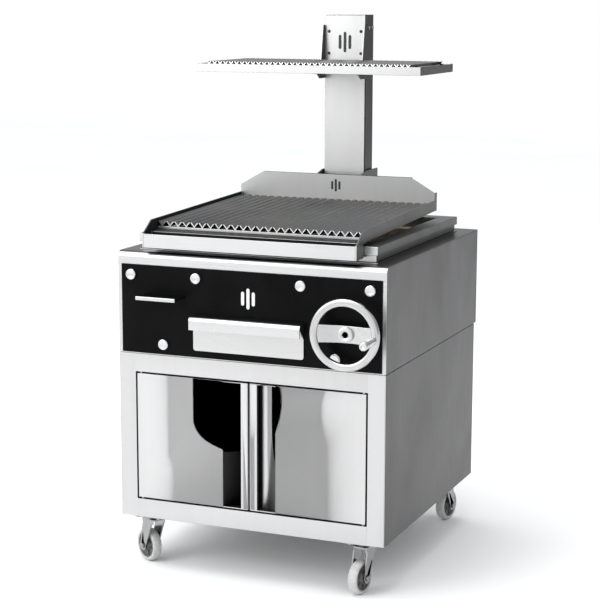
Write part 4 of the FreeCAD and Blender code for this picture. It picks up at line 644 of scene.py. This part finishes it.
def doors():
    for side in ("left", "right"):
        obj = sheet_work("door_" + side, "door sheet", 0.7)
        low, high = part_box("door_" + side)
        reach = max(abs(low.x), abs(high.x))

        def edge(n, c):
            """Outer, meeting, top and bottom edges, out of the light when closed."""
            rim = abs(c.x) > reach - 0.0005 or abs(c.x) < 0.0025 or abs(n.z) > 0.7
            return c.y > low.y + 0.0008 and rim

        def slope(n, c):
            """Slanted side of the grip channel, painted darker as shade on the left door."""
            return n.x > 0.3 and n.y < -0.3 and c.y > low.y + 0.01

        def pocket(n, c):
            """Walls and floor of the grip channel, painted near-black as shade on the right door."""
            deep = c.y - low.y
            wall = 0.004 < deep < 0.031 and n.y < 0.5 and abs(n.x) > 0.9
            return abs(c.x) < 0.04 and (wall or deep > 0.02 and n.y < -0.9)

        # Painted shade: near-black on the door edges, a darker copy of the steel on the left grip slope,
        # near-black in the right grip channel.
        refinish(obj, "painted black shade", edge)
        if side == "left":
            refinish(obj, "painted shade recess sheet", slope)
        else:
            refinish(obj, "painted black shade", pocket)


def firebox():
    """Rim tray over a narrower skirt, standing on a thin flange."""
    low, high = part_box("firebox_surround")
    shell_low, shell_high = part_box("firebox_shell")
    lap = 0.003
    inner_x = shell_high.x + 0.0005
    inner_front = shell_low.y - 0.0005
    inner_back = shell_high.y + 0.0005
    _, cover_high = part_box("column_cover")
    notch = cover_high.x + 0.0015
    notch_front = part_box("column_cover")[0].y - 0.0015
    levels = (("rim tray", 0.0, high.z - 0.022, high.z, 0.0012),
              ("skirt", 0.0055, low.z + 0.0035, high.z - 0.0225, 0.0006),
              ("flange", 0.0005, low.z + 0.0002, low.z + 0.0022, 0.0005))
    for label, inset, z0, z1, edge in levels:
        bm = bmesh.new()
        left, right = low.x + inset, high.x - inset
        near, far = low.y + inset, high.y - inset
        outline = [(left, near), (right, near), (right, far), (notch, far), (notch, notch_front),
                   (-notch, notch_front), (-notch, far), (left, far)]
        in_x, in_near, in_far = inner_x - lap, inner_front + lap, inner_back - lap
        inside = [(-in_x, in_near), (in_x, in_near), (in_x, in_far), (-in_x, in_far)]
        outer_ring = [[bm.verts.new((x, y, z)) for x, y in outline] for z in (z0, z1)]
        inner_ring = [[bm.verts.new((x, y, z)) for x, y in inside] for z in (z0, z1)]
        for ring, count in ((outer_ring, 8), (inner_ring, 4)):
            for i in range(count):
                j = (i + 1) % count
                bm.faces.new((ring[0][i], ring[0][j], ring[1][j], ring[1][i]))
        for k in (0, 1):
            o, n = outer_ring[k], inner_ring[k]
            for quad in ((o[0], o[1], n[1], n[0]), (o[1], o[2], n[2], n[1]),
                         (o[2], o[3], o[4], n[2]), (o[4], o[5], n[3], n[2]),
                         (o[5], o[6], o[7], n[3]), (o[7], o[0], n[0], n[3])):
                bm.faces.new(quad)
        outward(bm)
        obj = soft_edges(make("firebox_" + label.replace(" ", "_"), bm, "long sheet"), edge)
        covered = ("firebox_surround",) if label == "rim tray" else ()
        settle(obj, "cabinet", "stainless_sheet", *covered)
        obj.data.materials.clear()
        # Painted shade on the side and level faces of these sheets.
        dress(obj.data, "long sheet", "painted shade side sheet", "painted shade top sheet")
    soften("brick_lining", "brick", 2.5, 2)
    soften("charcoal_grate", "iron", 1.5, 2)


def cap_mesh(radius, thickness):
    """Round cover cap with a rolled edge and a shallow dished face."""
    bm = bmesh.new()
    fillet = 0.0032
    profile = [(radius, 0.0), (radius, thickness - fillet)]
    profile += arc(radius - fillet, thickness - fillet, fillet, 0, 90, 6)[1:]
    profile += [(radius - 0.0055, thickness - 0.0004), (radius * 0.4, thickness - 0.0009),
                (0.0, thickness - 0.001)]
    lathe(bm, profile, (0, 0, 0), (0, -1, 0), 48)
    return outward(bm)


def caps():
    """Six caps in three level pairs on the panel."""
    low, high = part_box("panel_caps")
    panel_low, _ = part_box("front_panel")
    radius, middle_x, low_x = 0.0145, 0.1465, 0.2415
    thickness = panel_low.y - low.y
    top = high.z - radius
    bottom = low.z + radius
    outer = high.x - radius
    rows = []
    for number, (x, z) in enumerate(((outer, top), (middle_x, top), (low_x, bottom))):
        rows.append(row_of("cap_pair", cap_mesh(radius, thickness), "caps", 2,
                           (-x, panel_low.y, z), (2 * x, 0, 0), number + 1))
    settle(joined("panel_caps_piece", rows), "cabinet", "cap_steel", "panel_caps")


def screw_mesh(radius, height, socket):
    """Button head with a six-sided socket, pointing along -Y."""
    bm = bmesh.new()
    profile = [(radius, 0.0), (radius, height * 0.25)]
    for i in range(1, 6):
        a = math.radians(90.0 * i / 6)
        profile.append((socket + (radius - socket) * math.cos(a),
                        height * (0.25 + 0.75 * math.sin(a))))
    profile += [(socket, height), (socket * 0.96, height * 0.35), (0.0, height * 0.3)]
    lathe(bm, profile, (0, 0, 0), (0, -1, 0), 24)
    return outward(bm)


def column_fixings():
    low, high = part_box("cover_screws")
    radius = 0.0045
    height = high.y - low.y
    x = high.x - radius - 0.0004
    rows = []
    for number, z in enumerate((low.z + radius, high.z - radius)):
        rows.append(row_of("cover_screw_row", screw_mesh(radius, height, 0.0018), "dark screw",
                           2, (-x, high.y, z), (2 * x, 0, 0), number))
    settle(joined("cover_screws_piece", rows), "cabinet", "dark_screws", "cover_screws")


def bracket_bolts():
    """Four button heads on each rack bracket."""
    low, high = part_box("bracket_bolts")
    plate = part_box("rack_brackets")[1].x
    radius, height = 0.005, high.x - plate
    rows = []
    for side in (-1, 1):
        for y in (low.y + radius, high.y - radius):
            bm = screw_mesh(radius, height, 0.002)
            bm.transform(Matrix.Rotation(math.radians(90 * side), 4, "Z"))
            z0, z1 = low.z + radius, high.z - radius
            rows.append(row_of("bracket_bolt_row", bm, "bolt steel", 2,
                               (side * plate, y, z0), (0, 0, z1 - z0)))
    settle(joined("bracket_bolts_piece", rows), "cabinet", "screw_steel", "bracket_bolts")


def slot_bar(bm, x, y, z, width, height, rise):
    """Upright bar with round ends, standing a little proud towards -Y."""
    r = width / 2.0
    outline = []
    for i in range(13):
        a = math.pi * i / 12
        outline.append((x + r * math.cos(a), y, z + height / 2 - r + r * math.sin(a)))
    for i in range(13):
        a = math.pi + math.pi * i / 12
        outline.append((x + r * math.cos(a), y, z - height / 2 + r + r * math.sin(a)))
    extrude_outline(bm, outline, (0, -rise, 0))


def plain_marks():
    """Three plain upright bars on the column, the splash plate and the panel."""
    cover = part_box("column_cover")[0].y
    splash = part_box("backsplash")[0].y
    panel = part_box("front_panel")[0].y
    sets = (("column_mark", cover, 1.391, 0.0085, (0.040, 0.058, 0.040), 0.015,
             "mark", "cabinet"),
            ("splash_mark", splash, 0.987, 0.006, (0.024, 0.036, 0.024), 0.011,
             "mark", "grate_carriage"),
            ("panel_mark", panel, 0.756, 0.0085, (0.036, 0.054, 0.036), 0.015,
             "pale mark", "cabinet"))
    for name, y, z, width, heights, pitch, finish, body in sets:
        bm = bmesh.new()
        for number, height in enumerate(heights):
            slot_bar(bm, (number - 1) * pitch, y, z, width, height, 0.0006)
        outward(bm)
        obj = make(name, bm, finish)
        settle(obj, body, "dark_screws" if finish == "mark" else "cap_steel")


# ------------------------------------------------------------------ grates
def vee_mesh(width, depth, wall, run):
    """Bent V channel with a rounded fold, its apex line starting at the origin."""
    bm = bmesh.new()
    w = width / 2.0
    slope = math.atan2(depth, w)
    fold = wall * 1.5
    rise = wall / math.cos(slope)
    lip = wall / math.sin(slope)
    right = [(w - lip, depth), (w - lip * 0.5, depth + wall * 0.25), (w, depth)]
    under = [(fold, fold * math.tan(slope)), (fold * 0.5, fold * 0.22)]
    outline = under + [(0.0, 0.0)] + [(-x, z) for x, z in reversed(under)]
    outline += [(-x, z) for x, z in reversed(right)] + [(0.0, rise)] + right
    extrude_outline(bm, [(x, 0.0, z) for x, z in outline], run)
    return outward(bm)


def paint_grate_light_and_shade(obj):
    """Painted light on the channels: lighter cut ends facing front as painted highlight, darker walls facing left
    and near-black undersides as painted shade.
    """
    obj.data.materials.append(FINISH["ridge"])
    obj.data.materials.append(FINISH["painted shade grate"])
    obj.data.materials.append(FINISH["painted black shade"])
    for polygon in obj.data.polygons:
        n = polygon.normal
        if n.y < -0.9:
            polygon.material_index = 1
        elif n.z < -0.2:
            polygon.material_index = 3
        elif n.x < -0.3:
            polygon.material_index = 2
        polygon.use_smooth = False


def grates():
    low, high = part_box("grate_channels")
    width, depth, wall, count, pitch = 0.0215, 0.013, 0.0024, 25, 0.0235
    run = (0, high.y - low.y, (high.z - low.z) - depth)
    first = -(count - 1) / 2.0 * pitch
    obj = row_of("grate_channels_piece", vee_mesh(width, depth, wall, run), "grate", count,
                 (first, low.y, low.z), (pitch, 0, 0), 5)
    paint_grate_light_and_shade(obj)
    settle(obj, "grate_carriage", "stainless_grate", "grate_channels")
    low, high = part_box("rack_channels")
    width, depth, wall, count, pitch = 0.013, 0.008, 0.0022, 36, 0.0166
    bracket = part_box("rack_brackets")[1].x - 0.002
    bracket_reach, shortened = 0.0085, 0.019
    rows = []
    spots = [(i - (count - 1) / 2.0) * pitch for i in range(count)]
    short = [x for x in spots if abs(abs(x) - bracket) < bracket_reach]
    groups = []
    for x in spots:
        length = high.y - low.y - (shortened if x in short else 0.0)
        if groups and abs(groups[-1][2] - length) < 1e-6:
            groups[-1][1] += 1
        else:
            groups.append([x, 1, length])
    for seed, (x, number, length) in enumerate(groups):
        rows.append(row_of("rack_row", vee_mesh(width, depth, wall, (0, length, 0)), "grate",
                           number, (x, low.y, low.z), (pitch, 0, 0), seed))
    whole = joined("rack_channels_piece", rows)
    paint_grate_light_and_shade(whole)
    settle(whole, "cabinet", "stainless_grate", "rack_channels")
    sheet_work("rack_frame", "column sheet", 0.7)


def carriage():
    side_plates = sheet_work("grate_frame", "front sheet", 0.9)
    apron_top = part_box("drip_trough")[1].z + 0.008
    # Painted shade: near-black on the left side plate's inner face and on the apron top.
    refinish(side_plates, "painted black shade",
             lambda n, c: n.x > 0.75 and c.x < 0 or n.z > 0.8 and c.z < apron_top)
    trough = sheet_work("drip_trough", "long sheet", 0.7)
    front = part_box("drip_trough")[0].y
    # Painted shade: near-black on the trough's inner faces.
    refinish(trough, "painted black shade", lambda n, c: n.z < 0.75 and c.y > front + 0.004)
    # Painted shade: darker copy of the steel on the splash plate, near-black on its top edge.
    sheet_work("backsplash", "painted shade splash sheet", 0.7, top="painted black shade")
    sheet_work("lift_yoke", "front sheet", 1.0)
    soften("lift_crossbar", "inner sheet", 0.8)
    soften("lift_nut", "bronze", 0.8)
    soften("glide_pads", "pad", 0.8)
    low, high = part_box("drip_trough")
    _, frame_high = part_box("grate_frame")
    for side in (-1, 1):
        x = high.x if side > 0 else low.x
        path = [(x, low.y + 0.002, high.z), (x, low.y + 0.002, low.z + 0.003),
                (x, high.y - 0.002, low.z + 0.003), (x, high.y - 0.002, high.z)]
        name = "trough_weld_right" if side > 0 else "trough_weld_left"
        weld(name, path, "grate_carriage", "stainless_sheet", 0.0013)
    low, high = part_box("backsplash")
    for side in (-1, 1):
        x = side * (frame_high.x - 0.004)
        path = [(x, low.y, low.z + 0.002), (x, low.y, frame_high.z)]
        name = "splash_weld_right" if side > 0 else "splash_weld_left"
        weld(name, path, "grate_carriage", "stainless_sheet", 0.0013)


# ------------------------------------------------------------------ drawer and damper
def drawer():
    sheet_work("drawer_front", "long sheet", 0.8)
    soften("ash_tray", "inner sheet", 0.6)


def damper():
    soften("damper_grip", "long sheet", 1.6, 3)
    soften("damper_plate", "enamel", 0.6)


# ------------------------------------------------------------------ handwheel
def handwheel():
    low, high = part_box("wheel_shaft")
    centre = Vector(((low.x + high.x) / 2, 0.0, (low.z + high.z) / 2))
    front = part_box("handwheel")[0].y
    rim, band, thick = 0.092, 0.020, 0.018
    bm = bmesh.new()
    middle, half_band, half_thick = rim - band / 2, band / 2, thick / 2
    profile = []
    for i in range(33):
        a = 2 * math.pi * i / 32
        c, s = math.cos(a), math.sin(a)
        power = 0.62
        profile.append((middle + half_band * math.copysign(abs(c) ** power, c),
                        half_thick * math.copysign(abs(s) ** power, s)))
    lathe(bm, profile, (centre.x, front + half_thick, centre.z), (0, 1, 0), 128)
    outward(bm)
    ring = smooth(make("wheel_ring", bm, "wheel casting"))
    bm = bmesh.new()
    reach, flat, dish, height, thin = rim - band + 0.002, 0.0175, 0.012, 0.044, 0.006
    steps = 40
    face = front + half_thick - thin / 2
    sections = []
    for i in range(steps + 1):
        x = -reach + 2 * reach * i / steps
        share = min(max((reach - abs(x)) / (reach - flat), 0.0), 1.0)
        ease = share * share * (3 - 2 * share)
        y = face + dish * (0.35 * ease + 0.65 * share)
        tall = height / 2 + 0.0015 * (1 - share) ** 2
        section = ((y, -tall), (y, tall), (y + thin, tall), (y + thin, -tall))
        sections.append([bm.verts.new((centre.x + x, yy, centre.z + zz)) for yy, zz in section])
    for a, b in zip(sections, sections[1:]):
        for i in range(4):
            j = (i + 1) % 4
            bm.faces.new((a[i], a[j], b[j], b[i]))
    bm.faces.new(sections[0])
    bm.faces.new(list(reversed(sections[-1])))
    outward(bm)
    spoke = set_shape(soft_edges(make("wheel_spoke", bm, "wheel casting"), 0.0016, 3))
    bm = bmesh.new()
    hub_front = front + dish
    socket = 0.0085
    profile = [(socket * 0.85, 0.005), (socket * 0.95, 0.0), (0.0185, 0.0), (0.0195, 0.001),
               (0.0195, 0.019), (0.0185, 0.020), (0.0092, 0.020)]
    lathe(bm, profile, (centre.x, hub_front - 0.001, centre.z), (0, 1, 0), 64)
    hexagon = [(centre.x + socket * math.cos(math.radians(60 * i + 30)),
                centre.z + socket * math.sin(math.radians(60 * i + 30))) for i in range(6)]
    for i in range(6):
        j = (i + 1) % 6
        quad = [(hexagon[i], hub_front - 0.001), (hexagon[j], hub_front - 0.001),
                (hexagon[j], hub_front + 0.005), (hexagon[i], hub_front + 0.005)]
        bm.faces.new([bm.verts.new((x, y, z)) for (x, z), y in quad])
    bm.faces.new([bm.verts.new((x, hub_front + 0.005, z)) for x, z in hexagon])
    outward(bm)
    hub = make("wheel_hub", bm, "wheel casting")
    for polygon in hub.data.polygons:
        polygon.use_smooth = len(polygon.vertices) == 4 and polygon.area < 0.00003
    whole = joined("handwheel_piece", [ring, spoke, hub])
    settle(whole, "handwheel", "wheel_casting", "handwheel")
    for side in (-1, 1):
        x = centre.x + side * (rim - band + 0.0005)
        y = face - 0.0004
        path = [(x, y, centre.z - 0.020), (x + side * 0.0025, y, centre.z),
                (x, y, centre.z + 0.020)]
        name = "spoke_weld_right" if side > 0 else "spoke_weld_left"
        weld(name, path, "handwheel", "wheel_casting", 0.0013)
    for node in ("wheel_shaft", "shaft_gear"):
        paint(node, "oiled steel")
    paint("crank_pin", "bolt steel")


def crank_grip():
    """Turned grip that swells to a rounded front end, with two decorative grooves."""
    low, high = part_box("crank_knob")
    centre = (low + high) / 2
    length = high.y - low.y
    base, front = 0.0085, 0.0115
    bm = bmesh.new()
    profile = [(0.0042, 0.0), (base - 0.0008, 0.0), (base, 0.0008)]
    for i in range(1, 25):
        share = i / 24.0
        radius = base + (front - base) * share ** 1.2
        if i in (4, 20):
            radius -= 0.0006
        profile.append((radius, 0.0008 + (length - 0.0048) * share))
    profile += [(front - 0.0004 - 0.0036 * (1 - math.cos(math.radians(a))),
                 length - 0.004 + 0.004 * math.sin(math.radians(a)))
                for a in (20, 40, 60, 80, 90)]
    profile += [(0.004, length - 0.0002), (0.0036, length - 0.0008), (0.0, length - 0.0008)]
    lathe(bm, profile, (centre.x, high.y, centre.z), (0, -1, 0), 48)
    outward(bm)
    settle(smooth(make("crank_grip", bm, "grip")), "crank_knob", "grip_steel", "crank_knob")


def drive():
    for node in ("cross_shaft", "cross_gears", "lead_screw", "screw_gear"):
        paint(node, "oiled steel")
    soften("drive_bearings", "bearing iron", 1.0)


# ------------------------------------------------------------------ casters
def wheel_axis(joint):
    found = next(j for j in frame["joints"] if j["name"] == joint)
    return Vector(found["pos_m"]), Vector(found["axis"])


WHEEL_RADIUS = 0.045
WHEEL_HALF = 0.015
WHEEL_CLEAR = 0.003
FORK_CHEEK = 0.004
AXLE_HEAD = 0.005


def caster_wheel(corner):
    centre, axis = wheel_axis("roll_" + corner)
    body = "wheel_" + corner
    radius, half = WHEEL_RADIUS, WHEEL_HALF
    bm = bmesh.new()
    profile = [(0.0342, -half * 0.80), (0.0398, -half * 0.88)]
    profile += [(radius - 0.0055 + 0.0055 * math.cos(math.radians(a)),
                 half * 0.88 * math.sin(math.radians(a))) for a in range(-75, 76, 15)]
    profile += [(0.0398, half * 0.88), (0.0342, half * 0.80), (0.0342, -half * 0.80)]
    lathe(bm, profile, centre, axis, 72)
    outward(bm)
    settle(smooth(make("caster_tread_" + corner, bm, "tread")), body, "caster_tread")
    bm = bmesh.new()
    profile = [(0.0052, half * 1.0), (0.0125, half * 1.0), (0.0140, half * 0.94),
               (0.0150, half * 0.5), (0.0175, half * 0.36), (0.0290, half * 0.36),
               (0.0308, half * 0.55),
               (0.0314, half * 0.80), (0.0342, half * 0.83)]
    full = profile + [(r, -a) for r, a in reversed(profile)] + [profile[0]]
    lathe(bm, full, centre, axis, 72)
    outward(bm)
    core = smooth(make("caster_core_" + corner, bm, "core"))
    settle(core, body, "caster_tread", "caster_wheel_" + corner)
    across = axis.orthogonal().normalized()
    other = axis.cross(across)
    bm = bmesh.new()
    for flip in (-1, 1):
        low_edge, high_edge = flip * half * 0.34, flip * half * 0.62
        spots = []
        for along in (low_edge, high_edge):
            for r, w in ((0.0145, 0.0020), (0.0308, 0.0013)):
                for s in (-w, w):
                    spots.append(across * r + other * s + axis * along)
        verts = [bm.verts.new(s) for s in spots]
        for face in BLOCK_FACES:
            bm.faces.new([verts[i] for i in face])
    outward(bm)
    ribs = set_shape(soft_edges(make("caster_ribs_" + corner, bm, "core"), 0.0005, 1))
    ribs = grow(ribs, "ring", Count=6, Centre=centre, Axis=axis, Finish=FINISH["core"])
    settle(ribs, body, "caster_tread")


def caster_fork(corner):
    node = "caster_fork_" + corner
    soften(node, "zinc", 0.9, 3)
    centre, axis = wheel_axis("roll_" + corner)
    spot, _ = wheel_axis("swivel_" + corner)
    outer = WHEEL_HALF + WHEEL_CLEAR + FORK_CHEEK + AXLE_HEAD
    across = axis.orthogonal().normalized()
    other = axis.cross(across)
    bm = bmesh.new()
    for side in (1, -1):
        start = axis * side * (outer - 0.0052)
        outline = []
        for i in range(6):
            a = math.radians(60 * i)
            corner_way = across * math.cos(a) + other * math.sin(a)
            outline.append(centre + start + corner_way * 0.0082)
        extrude_outline(bm, outline, axis * side * 0.0046)
        stud = [(0.0, 0.0), (0.0040, 0.0), (0.0040, 0.0052), (0.0032, 0.0060), (0.0, 0.0060)]
        lathe(bm, stud, centre + start, axis * side, 20)
    outward(bm)
    nut = soft_edges(make("axle_nut_" + corner, bm, "bolt steel"), 0.0004, 2)
    settle(nut, "fork_" + corner, "screw_steel")
    plate_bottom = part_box("caster_plates")[0].z
    bm = bmesh.new()
    race = 0.0243
    profile = [(race, 0.0)]
    profile += [(race + 0.0018 * math.sin(math.radians(a)),
                 0.0012 + 0.0012 * (1 - math.cos(math.radians(a)))) for a in (60, 120)]
    profile += [(race, 0.0048), (race - 0.002, 0.0048), (race - 0.002, 0.0), (race, 0.0)]
    lathe(bm, profile, (spot.x, spot.y, plate_bottom + 0.001), (0, 0, 1), 48)
    outward(bm)
    settle(smooth(make("race_seal_" + corner, bm, "zinc")), "cabinet", "zinc_fork")


def casters():
    soften("caster_plates", "zinc", 0.7)
    for corner in ("front_left", "front_right", "rear_left", "rear_right"):
        caster_wheel(corner)
        caster_fork(corner)


# ------------------------------------------------------------------ studio
def studio():
    bm = bmesh.new()
    size = 14.0
    bm.faces.new([bm.verts.new(p) for p in ((-size, -size, 0), (size, -size, 0),
                                            (size, size, 0), (-size, size, 0))])
    floor = bpy.data.objects.new("floor", bpy.data.meshes.new("floor"))
    bm.to_mesh(floor.data)
    bm.free()
    f = Finish("pale floor")
    cloud = f.noise(f.place(), 0.6, 3.0)
    shade = f.blend(f.spread(cloud, 0.3, 0.7), (0.93, 0.93, 0.93, 1), (0.96, 0.96, 0.96, 1))
    f.surface(shade, 0.9)
    floor.data.materials.append(f.material)
    bpy.context.scene.collection.objects.link(floor)

    world = bpy.data.worlds.new("studio")
    bpy.context.scene.world = world
    world.use_nodes = True
    nodes, links = world.node_tree.nodes, world.node_tree.links
    where = nodes.new("ShaderNodeTexCoord")
    toward = nodes.new("ShaderNodeVectorMath")
    toward.operation = "DOT_PRODUCT"
    toward.inputs[1].default_value = (-0.60, -0.72, 0.35)
    level = nodes.new("ShaderNodeMapRange")
    level.inputs[1].default_value = -1.0
    level.inputs[3].default_value = 0.34
    level.inputs[4].default_value = 1.55
    links.new(where.outputs["Generated"], toward.inputs[0])
    links.new(toward.outputs["Value"], level.inputs[0])
    soft = nodes["Background"]
    soft.inputs[0].default_value = (0.97, 0.98, 1.0, 1)
    links.new(level.outputs[0], soft.inputs[1])
    plain_wall = nodes.new("ShaderNodeBackground")
    plain_wall.inputs[0].default_value = (1, 1, 1, 1)
    ray = nodes.new("ShaderNodeLightPath")
    choose = nodes.new("ShaderNodeMixShader")
    links.new(ray.outputs["Is Camera Ray"], choose.inputs[0])
    links.new(soft.outputs[0], choose.inputs[1])
    links.new(plain_wall.outputs[0], choose.inputs[2])
    links.new(choose.outputs[0], nodes["World Output"].inputs[0])

    def light(name, spot, aim, size, power):
        lamp = bpy.data.lights.new(name, "AREA")
        lamp.shape = "RECTANGLE"
        lamp.size, lamp.size_y = size
        lamp.energy = power
        obj = bpy.data.objects.new(name, lamp)
        obj.location = spot
        obj.rotation_euler = (Vector(aim) - Vector(spot)).to_track_quat("-Z", "Y").to_euler()
        bpy.context.scene.collection.objects.link(obj)

    light("front key", (-2.1, -3.4, 2.2), (-0.2, 0, 0.6), (2.2, 2.2), 55)
    light("top", (-0.4, -0.4, 3.8), (0, 0, 0.9), (2.6, 2.6), 62)

    camera = bpy.data.cameras.new("camera")
    camera.lens = 102.7
    camera.sensor_width = 36.0
    camera.clip_end = 60.0
    view = bpy.data.objects.new("camera", camera)
    view.location = (1.7655, -4.2565, 1.514)
    aim = Vector((-0.0224, 0.0795, 0.6867)) - view.location
    turn = aim.to_track_quat("-Z", "Y").to_matrix().to_4x4()
    view.rotation_euler = (turn @ Matrix.Rotation(math.radians(0.16), 4, "Z")).to_euler()
    bpy.context.scene.collection.objects.link(view)
    bpy.context.scene.camera = view
    bpy.context.scene.view_settings.view_transform = "Standard"


cabinet_sheets()
doors()
firebox()
caps()
column_fixings()
bracket_bolts()
plain_marks()
grates()
carriage()
drawer()
damper()
handwheel()
crank_grip()
drive()
casters()
studio()
